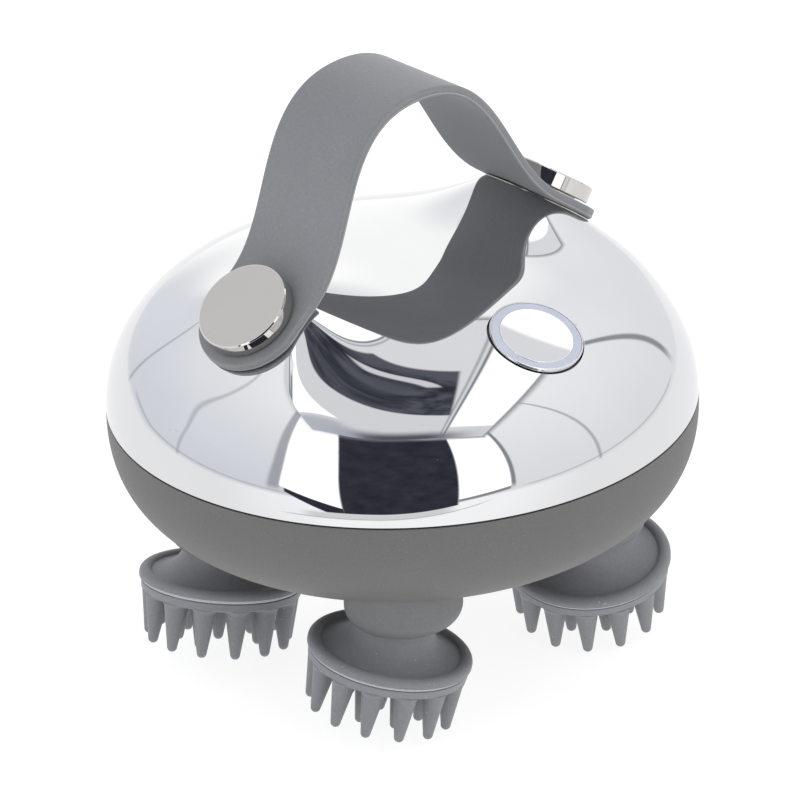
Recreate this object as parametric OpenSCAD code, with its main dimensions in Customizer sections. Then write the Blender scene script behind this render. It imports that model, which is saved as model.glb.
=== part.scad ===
// Electric scalp massager: a chromed dome and a grey lower shell, joined at a
// seam, carry a silicone hand strap, one lit power button and four tilted
// silicone heads.  A motor turns a worm, the worm turns a central wheel and
// sun gear, and the sun gear turns the four head gears.
// Units are millimetres.  Z is up, the tine tips stand on z = 0, the button
// faces -Y and the strap runs along X.

/* [Case] */
// Largest radius of the case, at the seam
case_r = 67.5; // [65:0.5:72]
// Height of the chromed dome above the seam
dome_h = 33.8; // [31:0.2:38]
// Depth of the lower shell below the seam
base_h = 31.5; // [29.5:0.1:32.5]
// How square the dome's shoulder is
dome_shoulder = 3.37; // [2.8:0.01:3.8]
// How square the lower shell's shoulder is
base_shoulder = 3.69; // [3.2:0.01:4.2]
// Wall thickness of both shells
wall = 2.2; // [1.8:0.1:2.6]
// Width of the dark seam between the shells
seam_gap = 0.4; // [0.3:0.05:0.6]
// Distance of each case screw from the side plane
case_screw_x = 16.5; // [15.5:0.1:17.5]
// Distance of each case screw from the front plane
case_screw_y = 48; // [47:0.1:50]

/* [Strap] */
// Width of the strap
strap_w = 26.5; // [24:0.5:29]
// Thickness of the strap
strap_t = 2.4; // [2:0.1:3]
// Tilt of the strap's two seats
seat_tilt = 37; // [33:0.5:41]
// Distance of each seat's centre from the middle
seat_x = 44.3; // [43:0.1:46]
// Height of each seat's centre above the seam
seat_rise = 34.7; // [33.5:0.1:36]
// Height of the strap's crest above the seam
crest_rise = 80.4; // [72:0.2:92]
// How far the crest leans to the left
crest_lean = 4.4; // [0:0.2:8]
// Radius of the nickel caps
cap_r = 11.07; // [9:0.1:12]
// Thickness of the nickel caps
cap_t = 4.3; // [3:0.1:5]

/* [Button] */
// Radius of the button's bezel
button_r = 10.9; // [9.5:0.1:11.5]
// Radius of the polished disc in the middle
disc_r = 8.4; // [6.5:0.1:8.8]
// Distance of the button from the middle
button_y = 44.7; // [43.5:0.1:46]
// Tilt of the button towards the front
button_tilt = 22.8; // [20:0.2:25]
// Gap round the button
button_gap = 0.3; // [0.2:0.05:0.4]
// How far the button is pressed
button_travel = 0.6; // [0.4:0.1:0.8]

/* [Heads] */
// Distance between the axes of neighbouring heads
head_pitch = 58.15; // [57:0.05:59]
// Tilt of each head on its crank
crank_tilt = 11.5; // [8:0.5:12.5]
// Direction in which the front left head leans
lean_front_left = 145; // [0:1:360]
// Direction in which the front right head leans
lean_front_right = 43; // [0:1:360]
// Direction in which the rear left head leans
lean_rear_left = 199; // [0:1:360]
// Direction in which the rear right head leans
lean_rear_right = 328; // [0:1:360]
// Radius of a head's rim
rim_r = 18.95; // [17.5:0.05:20]
// Radius of a head's neck
neck_r = 9.3; // [8.8:0.1:9.6]
// Distance from the crank's bend to the rim
rim_drop = 17.95; // [17:0.05:19]
// Number of tines in the outer ring
outer_tines = 13; // [9:1:15]
// Number of tines in the inner ring
inner_tines = 7; // [5:1:8]
// Length of a tine
tine_l = 11.8; // [9:0.1:14]
// Radius of a tine at its root
tine_root_r = 2.85; // [2.2:0.05:3.1]
// Radius of a tine's rounded tip
tine_tip_r = 1.15; // [0.8:0.05:1.5]
// Outward splay of the outer tines
tine_splay = 3; // [0:0.5:6]
// Radius of the fixed collar round each neck
collar_r = 13.5; // [13:0.1:14.5]
// Rounding of the collar's lower edge
collar_round = 4.2; // [2:0.1:5]

/* [Drive] */
// Radius of the head shafts
shaft_r = 2.5; // [2:0.1:2.8]
// Radial running clearance of shafts and pins
running_gap = 0.05; // [0.02:0.01:0.08]
// Teeth of the sun gear in one quarter turn
sun_quarter_teeth = 10; // [9:1:12]
// Teeth of each head gear
head_teeth = 26; // [24:1:28]
// Face width of the spur gears
gear_w = 5; // [4:0.5:5.5]
// Teeth of the worm wheel
wheel_teeth = 26; // [22:1:26]
// Module of the worm and its wheel
worm_module = 1; // [0.9:0.02:1]
// Pitch radius of the worm
worm_r = 4.5; // [4:0.1:5]
// Length of the worm
worm_l = 15; // [13:0.5:16]
// Radius of the motor can
motor_r = 10.1; // [9.5:0.1:10.5]
// Height of the motor across its flats
motor_flat = 15.2; // [14.5:0.1:16]
// Length of the motor can
motor_l = 30; // [25:0.5:33]
// Radius of the battery cell
cell_r = 9.2; // [7:0.1:9.3]
// Length of the battery cell
cell_l = 65; // [50:0.5:66]

/* [Hidden] */
$fn = 72;
eps = 0.01;

// Each head is [direction from the middle, direction in which it leans]
FRONT_LEFT = [225, lean_front_left];
FRONT_RIGHT = [315, lean_front_right];
REAR_LEFT = [135, lean_rear_left];
REAR_RIGHT = [45, lean_rear_right];
HEADS = [FRONT_LEFT, FRONT_RIGHT, REAR_LEFT, REAR_RIGHT];
head_orbit = head_pitch / sqrt(2);

// A head's own heights, counted down from the bend of its crank
base_drop = rim_drop + 2.65;
tip_drop = base_drop + tine_l - tine_tip_r;
outer_ring_r = rim_r - 0.7 - tine_root_r;
inner_ring_r = outer_ring_r * 0.6;
tip_ring_r = outer_ring_r + (tip_drop - base_drop) * tan(tine_splay);
neck_top_drop = 7.5;
stub_r = shaft_r - 0.2;

// Heights above the table: the lowest tine of each head touches z = 0
bend_z = tip_drop * cos(crank_tilt) + tip_ring_r * sin(crank_tilt) + tine_tip_r;
seam_rise = 26.6;
seam_z = bend_z + seam_rise;
collar_z = bend_z - 9.3;
web_z = bend_z + 0.3;
web_top_z = bend_z + 6.4;
seal_h = 2;
gear_z = bend_z + 7.6;
gear_top_z = gear_z + gear_w;
plate_z = gear_top_z + 1;
plate_t = 1.6;
deck_z = plate_z + plate_t;
worm_z = deck_z + 0.8 + motor_flat / 2;

// Fine outline of the two shells
outline_step = 3.75;
dome_edge = 0.494;
base_edge = 0.401;
dome_z0 = seam_z + seam_gap / 2;
base_z0 = seam_z - seam_gap / 2;
tongue_h = 2;
tongue_gap = 0.1;
seal_inset = 0.35;

// Case screws
screw_r = 1.5;
screw_head_r = 2.8;
screw_head_h = 1.6;
tower_r = 4.2;
tower_floor_z = seam_z - 10;
screw_reach = 8;

// Strap seats
boss_r = 12.6;
boss_l = 14;
boss_floor = 3;
foot_x = 41.1;
foot_tilt = 17;
foot_r = 10.9;
foot_fillet = 9;
foot_sink = 1.2;
foot_shift = 6;
nut_r = 4.4;
nut_t = 2.6;
pocket_r = 6.2;
stud_r = 2.5;
stud_gap = 0.1;
seat_z = seam_z + seat_rise;
strap_mid = strap_t / 2;
strap_steps = 28;
strap_flat = 8.5;
end_ease = 0.35;
seat_pull = 17;
crest_pull = 25.2;
cap_gap = 0.5;

// Button, counted along its own axis from the face of the bezel
button_z = dome_height(button_y) + 0.35;
ring_w = 1.75;
guide_r = disc_r + ring_w;
bezel_h = 2.2;
skirt_h = 6;
skirt_w = 2;
button_seal_h = 0.9;
flange_h = 1;
flange_r = button_r + 1.7;
stem_r = 1.6;
stem_drop = 9.3;
plunger_r = 1.75;
plunger_l = 2.9;
switch_w = 6.2;
switch_top = 10.2;
board_top = 13.6;
board_t = 1.6;
board_post_y = 15.5;
board_post_r = 2.2;
board_w = 20;
led_count = 4;

// Gears
sun_teeth = 4 * sun_quarter_teeth;
spur_module = 2 * head_orbit / (sun_teeth + head_teeth);
pressure_angle = 20;
spur_backlash = 0.16;
wheel_r = worm_module * wheel_teeth / 2;
worm_y = wheel_r + worm_r;
worm_pitch = PI * worm_module;
worm_lead_angle = atan(worm_module / (2 * worm_r));
worm_slices = 12;
worm_points = 20;
wheel_w = 5;
wheel_backlash = 0.34;
hub_r = 8;
hub_gap = 1;
pin_r = 2;
pin_boss_r = 5;
pin_top_z = worm_z + 6;
bush_w = 2;
bush_flange = 0.6;
collar_bore_gap = 2.1;

// Motor frame and chassis
motor_x = 14;
frame_wall = 2;
motor_shaft_r = 1;
bush_x = -11.5;
bridge_x = 17;
bridge_w = 8;
bridge_t = 2.5;
leg_t = 3;
bridge_z = worm_z + 3.5;
sole_t = 2;
post_orbit = 42;
post_r = 3.5;
plate_r = 53;

// Battery
cell_y = -26;
tray_wall = 1.2;
cell_gap = 0.2;
cell_z = deck_z + tray_wall + cell_r;

// Boards
control_board_z = bridge_z + 9.5;
control_board_l = 48;
control_board_w = 26;
control_post_r = 2.5;
control_post_x = 12;

// Charging port at the back of the lower shell
port_z = seam_z - 11;
port_y = case_r - 3.4;
socket_w = 9;
socket_h = 3.3;
socket_l = 8;
socket_wall = 0.4;
port_hole_w = 11;
port_hole_h = 5;
lid_w = 15;
lid_h = 7.5;
lid_gap = 0.3;
charge_board_y = 54.3;
charge_board_w = 18;
shelf_t = 1.6;

// ---- Shared shapes ----

function shoulder_curve(share, shoulder, edge) = pow(max(0, 1 - pow(share, shoulder)), edge);
function dome_height(r) = dome_z0 + dome_h * shoulder_curve(r / case_r, dome_shoulder, dome_edge);
function base_depth(r) = base_z0 - base_h * shoulder_curve(r / case_r, base_shoulder, base_edge);

// Points from the axis out to the rim of a dome-like bowl
function bowl_points(r, h, shoulder, edge) =
    [for (a = [0:outline_step:90]) [r * sin(a), h * shoulder_curve(sin(a), shoulder, edge)]];

function reversed(list) = [for (i = [len(list) - 1:-1:0]) list[i]];

// A filled bowl, standing on its rim at z = 0
module bowl(r, h, shoulder, edge) {
    rotate_extrude() polygon(concat(bowl_points(r, h, shoulder, edge), [[0, 0]]));
}

// A shell of even wall, standing on its rim at z = 0
module shell_wall(r, h, shoulder, edge) {
    rotate_extrude()
        polygon(concat(bowl_points(r, h, shoulder, edge),
                       reversed(bowl_points(r - wall, h - wall, shoulder, edge))));
}

module dome_solid(inset = 0) {
    translate([0, 0, dome_z0]) bowl(case_r - inset, dome_h - inset, dome_shoulder, dome_edge);
}

module base_solid(inset = 0) {
    translate([0, 0, base_z0]) mirror([0, 0, 1])
        bowl(case_r - inset, base_h - inset, base_shoulder, base_edge);
}

module tube(outer_r, inner_r, z0, z1) {
    difference() {
        translate([0, 0, z0]) cylinder(r = outer_r, h = z1 - z0);
        translate([0, 0, z0 - 1]) cylinder(r = inner_r, h = z1 - z0 + 2);
    }
}

module rod(r, z0, z1) {
    translate([0, 0, z0]) cylinder(r = r, h = z1 - z0);
}

// A flat slot shape with round ends, w wide and h high, along +Y from y0 to y1
module slot_bar(w, h, y0, y1) {
    translate([0, y0, 0]) rotate([-90, 0, 0]) {
        for (side = [-1, 1]) translate([side * (w - h) / 2, 0, 0]) cylinder(r = h / 2, h = y1 - y0);
        translate([-(w - h) / 2, -h / 2, 0]) cube([w - h, h, y1 - y0]);
    }
}

module at_heads() {
    for (head = HEADS) rotate(head[0]) translate([head_orbit, 0, 0]) children();
}

module at_case_screws() {
    for (sx = [-1, 1]) for (sy = [-1, 1]) translate([sx * case_screw_x, sy * case_screw_y, 0]) children();
}

module at_posts() {
    for (a = [0:90:270]) rotate(a) translate([post_orbit, 0, 0]) children();
}

// The frame of a strap seat: z = 0 is the face that the strap lies on
module at_seat(side) {
    translate([side * seat_x, 0, seat_z]) rotate([0, side * seat_tilt, 0]) children();
}

// The frame of the button: z = 0 is the face of its bezel
module at_button() {
    translate([0, -button_y, button_z]) rotate([button_tilt, 0, 0]) children();
}

// The frame of a head: the origin is the bend of its crank, -Z runs down its own axis
module at_head_axis(head) {
    rotate(head[0]) translate([head_orbit, 0, bend_z]) rotate(head[1] - head[0])
        rotate([0, -crank_tilt, 0]) children();
}

// ---- Gears ----

function involute(angle) = tan(angle) - angle * PI / 180;

// Half the angle that a tooth covers at radius r, in degrees
function tooth_half_angle(teeth, pitch_r, r, backlash) =
    let (base_r = pitch_r * cos(pressure_angle))
    let (slope = acos(min(1, base_r / r)))
    90 / teeth + (involute(pressure_angle) - involute(slope) - backlash / (2 * pitch_r)) * 180 / PI;

function polar(r, angle) = [r * cos(angle), r * sin(angle)];

function gear_points(teeth, module_mm, backlash) =
    let (pitch_r = teeth * module_mm / 2)
    let (root_r = pitch_r - 1.25 * module_mm)
    let (radii = [root_r, pitch_r - 0.45 * module_mm, pitch_r + 0.25 * module_mm, pitch_r + 0.9 * module_mm])
    [for (i = [0:teeth - 1]) let (middle = i * 360 / teeth)
        each concat(
            [for (r = radii) polar(r, middle - tooth_half_angle(teeth, pitch_r, r, backlash))],
            [for (r = reversed(radii)) polar(r, middle + tooth_half_angle(teeth, pitch_r, r, backlash))])];

// Radius of the worm's cross-section where the thread has turned by share of a turn
function worm_section_r(share) =
    let (from_crest = abs(share - round(share)) * worm_pitch)
    let (crest_half = 0.3 * worm_module)
    let (root_half = 1.15 * worm_module)
    let (fall = min(1, max(0, (from_crest - crest_half) / (root_half - crest_half))))
    worm_r + worm_module * (0.9 - 2.05 * fall);

// ---- Case ----

// Round boss under a strap seat, with a hollowed foot that runs into the dome
module seat_boss(side) {
    flare = [for (a = [0:18:90]) [foot_r + foot_fillet * (1 - cos(a)), foot_fillet * (1 - sin(a))]];
    at_seat(side) rotate_extrude()
        polygon([[0, 0], [boss_r - 0.4, 0], [boss_r, -0.4], [boss_r, -boss_l], [0, -boss_l]]);
    intersection() {
        translate([side * foot_x, 0, dome_height(foot_x) - foot_sink]) rotate([0, side * foot_tilt, 0])
            rotate_extrude() polygon(concat(flare, [[foot_r + foot_fillet, -4], [0, -4]]));
        at_seat(side) translate([-side * foot_shift, 0, 0])
            rod(boss_r + foot_shift - 0.5, -boss_l - 10, -0.6);
    }
}

module top_shell() color([0.86, 0.87, 0.89]) {
    difference() {
        union() {
            translate([0, 0, dome_z0]) shell_wall(case_r, dome_h, dome_shoulder, dome_edge);
            // seats of the strap, cored from inside
            difference() {
                for (side = [-1, 1]) seat_boss(side);
                dome_solid(wall);
            }
            // screw towers, button skirt and board posts, kept under the roof
            intersection() {
                dome_solid(wall / 2);
                union() {
                    at_case_screws() rod(tower_r, dome_z0, dome_z0 + dome_h);
                    at_button() {
                        rod(button_r + button_gap + skirt_w, -skirt_h, 2);
                        for (side = [-1, 1])
                            translate([0, side * board_post_y, 0]) rod(board_post_r, -board_top, 6);
                    }
                }
            }
            // tongue that drops into the lower shell
            tube(case_r - wall / 2 - tongue_gap, case_r - wall, base_z0 - tongue_h, dome_z0 + eps);
        }
        at_button() rod(button_r + button_gap, -skirt_h - 2, 8);
        at_button() for (side = [-1, 1])
            translate([0, side * board_post_y, 0]) rod(0.8, -board_top - 1, -board_top + 6);
        at_case_screws() rod(screw_r - 0.25, dome_z0 - 1, dome_z0 + screw_reach + 1);
        for (side = [-1, 1]) at_seat(side) {
            rod(stud_r + stud_gap, -boss_floor - 1, 1);
            rod(pocket_r, -boss_floor - 18, -boss_floor);
        }
    }
}

module bottom_shell() color([0.47, 0.47, 0.46]) {
    difference() {
        union() {
            translate([0, 0, base_z0]) mirror([0, 0, 1])
                shell_wall(case_r, base_h, base_shoulder, base_edge);
            intersection() {
                base_solid(wall / 2);
                union() {
                    at_heads() rod(collar_r + 1.8, 0, web_z + 2);
                    at_case_screws() rod(tower_r, 0, base_z0);
                    at_posts() rod(post_r, 0, plate_z);
                    rod(pin_boss_r, 0, gear_z - 0.3);
                    // pocket round the charging port and the shelf of its board
                    translate([0, 0, port_z]) slot_bar(lid_w + 3, lid_h + 3, port_y - wall, case_r);
                    translate([-charge_board_w / 2, charge_board_y, port_z - socket_h / 2 - board_t - shelf_t])
                        cube([charge_board_w, case_r - charge_board_y, shelf_t]);
                }
            }
        }
        // groove for the tongue
        tube(case_r - wall / 2, case_r - wall - 1, base_z0 - tongue_h - 0.2, base_z0 + 1);
        at_heads() rod(collar_r, 0, base_z0);
        at_case_screws() {
            rod(screw_head_r + 0.3, 0, tower_floor_z);
            rod(screw_r + 0.1, 0, base_z0 + 1);
        }
        at_posts() rod(screw_r - 0.25, plate_z - 8, plate_z + 1);
        rod(pin_r, bend_z, gear_z);
        translate([0, 0, port_z]) {
            slot_bar(lid_w + 2 * lid_gap, lid_h + 2 * lid_gap, port_y + 1, case_r + 1);
            slot_bar(port_hole_w, port_hole_h, port_y - 2 * wall, case_r + 1);
        }
    }
}

// Silicone cord between the shells, seen as the dark seam
module shell_seal() color([0.13, 0.13, 0.14])
    tube(case_r - seal_inset, case_r - wall / 2, base_z0, dome_z0);

module case_screws() color([0.6, 0.6, 0.62])
    at_case_screws() {
        rod(screw_head_r, tower_floor_z - screw_head_h, tower_floor_z);
        rod(screw_r - 0.25, tower_floor_z - eps, dome_z0 + screw_reach);
    }

// ---- Strap ----

function bezier(a, b, c, d, t) =
    pow(1 - t, 3) * a + 3 * pow(1 - t, 2) * t * b + 3 * (1 - t) * t * t * c + t * t * t * d;

// Middle line of the strap from a seat to the crest, flat on the seat at first
function strap_arm(side) =
    let (middle = [side * (seat_x + strap_mid * sin(seat_tilt)), seat_z + strap_mid * cos(seat_tilt)])
    let (along = [-side * cos(seat_tilt), sin(seat_tilt)])
    let (start = middle + strap_flat * along)
    let (crest = [-crest_lean, seam_z + crest_rise])
    let (handle_1 = start + (seat_pull + (side + 1) / 2 * crest_lean) * along)
    let (handle_2 = crest + [side * crest_pull, 0])
    concat([middle - (strap_w / 2 + 1) * along, middle + strap_flat / 2 * along],
           [for (i = [0:strap_steps]) bezier(start, handle_1, handle_2, crest, i / strap_steps)]);

function strap_line() =
    let (right = reversed(strap_arm(1)))
    concat(strap_arm(-1), [for (i = [1:len(right) - 1]) right[i]]);

// Points at a constant distance to the left of a line
function beside(line, distance) =
    [for (i = [0:len(line) - 1])
        let (along = line[min(i + 1, len(line) - 1)] - line[max(i - 1, 0)])
        line[i] + distance * [-along[1], along[0]] / norm(along)];

module strap() color([0.53, 0.54, 0.55]) {
    line = strap_line();
    difference() {
        rotate([90, 0, 0]) linear_extrude(strap_w, center = true)
            polygon(concat(beside(line, strap_mid), reversed(beside(line, -strap_mid))));
        for (side = [-1, 1]) at_seat(side) {
            rod(stud_r + stud_gap, -2, strap_t + 6);
            // what lies outside the rounded end
            difference() {
                translate([side * 11, 0, 1]) cube([20, 2 * strap_w, 8], center = true);
                translate([-side * end_ease, 0, 0]) rod(strap_w / 2 + end_ease, -5, 8);
            }
        }
    }
}

// Nickel cap with the stud that holds the strap on its seat
module strap_cap(side) color([0.75, 0.73, 0.71])
    at_seat(side) {
        rotate_extrude() polygon([
            [0, strap_t], [cap_r - 3, strap_t], [cap_r - 3, strap_t + cap_gap],
            [cap_r - 0.3, strap_t + cap_gap], [cap_r, strap_t + cap_gap + 0.3],
            [cap_r, strap_t + cap_t - 0.6], [cap_r - 0.6, strap_t + cap_t], [0, strap_t + cap_t]]);
        rod(stud_r, -boss_floor - nut_t - 1, strap_t + eps);
    }

module strap_nuts() color([0.7, 0.68, 0.6])
    for (side = [-1, 1]) at_seat(side) translate([0, 0, -boss_floor - nut_t]) difference() {
        cylinder(r = nut_r, h = nut_t, $fn = 6);
        translate([0, 0, -1]) cylinder(r = stud_r, h = nut_t + 2);
    }

// ---- Button ----

module button_bezel() color([0.86, 0.87, 0.89])
    at_button() rotate_extrude() polygon([
        [guide_r, -bezel_h], [button_r, -bezel_h], [button_r, -0.35],
        [button_r - 0.35, 0], [guide_r + 0.1, 0], [guide_r, -0.1]]);

module button_disc() color([0.86, 0.87, 0.89])
    at_button() rotate_extrude() polygon([
        [0, -1.2], [disc_r, -1.2], [disc_r, -0.15], [disc_r - 0.15, 0], [0, 0]]);

// Clear moulding that carries the bezel and the disc and lights the ring between them
module light_guide() color([0.72, 0.74, 0.84])
    at_button() {
        tube(guide_r, disc_r, -1.2 - eps, -0.1);
        rod(guide_r, -bezel_h, -1.2);
        rod(button_r, -skirt_h - button_seal_h, -bezel_h);
        rod(flange_r, -skirt_h - button_seal_h - flange_h, -skirt_h - button_seal_h);
        rod(stem_r, -stem_drop, -skirt_h);
    }

module switch_plunger() color([0.15, 0.15, 0.16])
    at_button() rod(plunger_r, -stem_drop - plunger_l, -stem_drop);

module button_seal() color([0.2, 0.2, 0.21])
    at_button() tube(button_r + button_gap + skirt_w, button_r + button_gap,
                     -skirt_h - button_seal_h, -skirt_h);

module tact_switch() color([0.3, 0.3, 0.32])
    at_button() difference() {
        translate([-switch_w / 2, -switch_w / 2, -board_top])
            cube([switch_w, switch_w, board_top - switch_top]);
        rod(plunger_r + running_gap, -stem_drop - plunger_l - button_travel - 0.2, 0);
    }

module button_board() color([0.1, 0.35, 0.2])
    at_button() difference() {
        translate([-board_w / 2, -board_post_y - 2.5, -board_top - board_t])
            cube([board_w, 2 * board_post_y + 5, board_t]);
        for (side = [-1, 1])
            translate([0, side * board_post_y, 0]) rod(1.1, -board_top - board_t - 1, -board_top + 1);
    }

module button_leds() color([0.9, 0.95, 0.9])
    at_button() for (i = [0:led_count - 1])
        rotate(45 + i * 360 / led_count) translate([6.6, -0.8, -board_top]) cube([2.4, 1.6, 0.9]);

module board_screws() color([0.6, 0.6, 0.62])
    at_button() for (side = [-1, 1]) translate([0, side * board_post_y, 0]) {
        rod(2, -board_top - board_t - 1.3, -board_top - board_t);
        rod(0.8, -board_top - board_t - eps, -board_top + 5);
    }

// ---- Heads ----

// Fixed collar round the neck, with the web that holds the bush and the seal
module neck_collar(head) color([0.49, 0.49, 0.5])
    rotate(head[0]) translate([head_orbit, 0, 0]) {
        bore_r = neck_r + collar_bore_gap;
        corner = [collar_r - collar_round, collar_z + collar_round];
        corner_r = collar_r - collar_round;
        start = acos(max(-1, min(1, (bore_r - corner_r) / collar_round)));
        edge = [for (i = [0:8]) corner + collar_round * [cos(-start * (1 - i / 8)), sin(-start * (1 - i / 8))]];
        rotate_extrude() polygon(concat(
            edge, [[collar_r, web_top_z], [shaft_r + running_gap + bush_w, web_top_z],
            [shaft_r + running_gap + bush_w, web_z + seal_h], [shaft_r + 3, web_z + seal_h],
            [shaft_r + 3, web_z], [bore_r, web_z]]));
    }

module shaft_seals() color([0.2, 0.2, 0.21])
    at_heads() tube(shaft_r + 3, shaft_r + running_gap, web_z, web_z + seal_h);

module lower_bushes() color([0.8, 0.65, 0.35])
    at_heads() tube(shaft_r + running_gap + bush_w, shaft_r + running_gap, web_z + seal_h, web_top_z);

module upper_bushes() color([0.8, 0.65, 0.35])
    at_heads() {
        tube(shaft_r + running_gap + bush_w, shaft_r + running_gap, plate_z - eps, deck_z);
        tube(shaft_r + running_gap + bush_w + 1, shaft_r + running_gap, plate_z - bush_flange, plate_z);
    }

// Upright shaft with a slimmer tilted stub, one steel piece
module crank_shaft(head) color([0.7, 0.71, 0.73]) {
    mitre = shaft_r * tan(crank_tilt / 2);
    rotate(head[0]) translate([head_orbit, 0, 0]) rod(shaft_r, bend_z - mitre, deck_z - 0.3);
    at_head_axis(head) rod(stub_r, -rim_drop + 1, mitre);
}

core_flange_r = rim_r - 3.6;
core_neck_r = neck_r - 2.1;
core_outline = [
    [core_neck_r, -neck_top_drop - 0.8], [core_neck_r, -rim_drop + 3.6],
    [core_flange_r - 3, -rim_drop + 0.6], [core_flange_r, -rim_drop + 0.4], [core_flange_r, -rim_drop - 1.2]];

// Stiff core, pressed on the stub, that the silicone is moulded over
module head_core(head) color([0.25, 0.25, 0.27])
    at_head_axis(head) rotate_extrude() polygon(concat(
        [[stub_r, -neck_top_drop - 0.8]], core_outline,
        [[0, -rim_drop - 1.2], [0, -rim_drop + 1], [stub_r, -rim_drop + 1]]));

module tine(ring_r, angle, splay) {
    rotate(angle) translate([ring_r, 0, -base_drop]) rotate([0, -splay, 0]) {
        reach = (tip_drop - base_drop) / cos(splay);
        translate([0, 0, -reach]) {
            cylinder(r1 = tine_tip_r, r2 = tine_root_r, h = reach, $fn = 32);
            sphere(r = tine_tip_r, $fn = 32);
        }
        translate([0, 0, -eps]) cylinder(r = tine_root_r, h = 1, $fn = 32);
    }
}

// Silicone head: a dished funnel with a rolled rim over a disc of tines
module claw(head) color([0.38, 0.38, 0.4])
    at_head_axis(head) {
        bowl_low = -rim_drop + 1.75;
        dish = [for (i = [0:7]) let (s = i / 7) bezier(
            [neck_r, -neck_top_drop - 3.5], [neck_r + 0.4, -neck_top_drop - 6.5],
            [rim_r - 6.5, bowl_low + 0.15], [rim_r - 3.1, bowl_low], s)];
        lip_r = 1.55;
        lip = [for (a = [150:-25:0]) [rim_r - lip_r + lip_r * cos(a), -rim_drop + 0.75 + lip_r * sin(a)]];
        rotate_extrude() polygon(concat(
            [[core_neck_r, -neck_top_drop], [neck_r - 0.5, -neck_top_drop], [neck_r, -neck_top_drop - 0.5]],
            dish, lip,
            [[rim_r, -rim_drop], [rim_r - 0.6, -rim_drop - 0.4], [rim_r - 0.6, -base_drop + 0.5],
             [rim_r - 1.1, -base_drop], [0, -base_drop], [0, -rim_drop - 1.2]],
            reversed(core_outline)));
        for (i = [0:outer_tines - 1]) tine(outer_ring_r, 180 + i * 360 / outer_tines, tine_splay);
        for (i = [0:inner_tines - 1]) tine(inner_ring_r, i * 360 / inner_tines, 0);
        tine(0, 0, 0);
    }

// ---- Gear train ----

module head_gear(head) color([0.9, 0.9, 0.86])
    rotate(head[0]) translate([head_orbit, 0, 0])
        // turned so that a gap meets the sun gear's tooth
        rotate(180 + head[0] * sun_teeth / head_teeth - 180 / head_teeth) difference() {
            union() {
                translate([0, 0, gear_z]) linear_extrude(gear_w)
                    polygon(gear_points(head_teeth, spur_module, spur_backlash));
                rod(shaft_r + 2.5, web_top_z + 0.3, gear_z + eps);
            }
            rod(shaft_r, gear_z - 3, gear_top_z + 1);
        }

// Sun gear and worm wheel in one moulding
module sun_gear() color([0.9, 0.9, 0.86]) {
    wheel_z0 = worm_z - wheel_w / 2;
    half_twist = wheel_w / 2 * tan(worm_lead_angle) / wheel_r * 180 / PI;
    difference() {
        union() {
            translate([0, 0, gear_z]) linear_extrude(gear_w)
                polygon(gear_points(sun_teeth, spur_module, spur_backlash));
            rod(hub_r, gear_top_z - eps, wheel_z0 + eps);
            translate([0, 0, wheel_z0])
                rotate(90 + 180 / wheel_teeth - half_twist)
                    linear_extrude(wheel_w, twist = -2 * half_twist, slices = 2)
                        polygon(gear_points(wheel_teeth, worm_module, wheel_backlash));
        }
        rod(pin_r + running_gap, gear_z - 1, worm_z + wheel_w);
    }
}

module sun_pin() color([0.7, 0.71, 0.73]) rod(pin_r, bend_z, bridge_z + bridge_t);

module worm() color([0.75, 0.62, 0.32])
    translate([0, worm_y, worm_z]) rotate([0, 90, 0]) difference() {
        rotate(270 - 180 * worm_l / worm_pitch)
            linear_extrude(worm_l, center = true, twist = -360 * worm_l / worm_pitch,
                           slices = ceil(worm_slices * worm_l / worm_pitch), segments = worm_points)
                polygon([for (i = [0:worm_points - 1]) let (share = i / worm_points)
                    polar(worm_section_r(share), -share * 360)]);
        translate([0, 0, -worm_l]) cylinder(r = motor_shaft_r, h = 2 * worm_l);
    }

module motor_shaft() color([0.7, 0.71, 0.73])
    translate([bush_x - 1, worm_y, worm_z]) rotate([0, 90, 0])
        cylinder(r = motor_shaft_r, h = motor_x + motor_l / 2 - bush_x + 1);

module motor() color([0.72, 0.72, 0.74])
    translate([motor_x, worm_y, worm_z]) rotate([0, 90, 0]) difference() {
        union() {
            intersection() {
                cylinder(r = motor_r, h = motor_l);
                translate([-motor_flat / 2, -motor_r, 0]) cube([motor_flat, 2 * motor_r, motor_l]);
            }
            translate([0, 0, -1.6]) cylinder(r = 3, h = 1.7);
            for (side = [-1, 1]) translate([-0.3, side * 6 - 1, motor_l - eps]) cube([0.6, 2, 4]);
        }
        translate([0, 0, -3]) cylinder(r = motor_shaft_r + running_gap, h = motor_l - 1);
    }

module worm_bush() color([0.8, 0.65, 0.35])
    translate([bush_x - frame_wall / 2, worm_y, worm_z]) rotate([0, 90, 0])
        tube(motor_shaft_r + running_gap + 1.5, motor_shaft_r + running_gap, 0, frame_wall);

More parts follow.
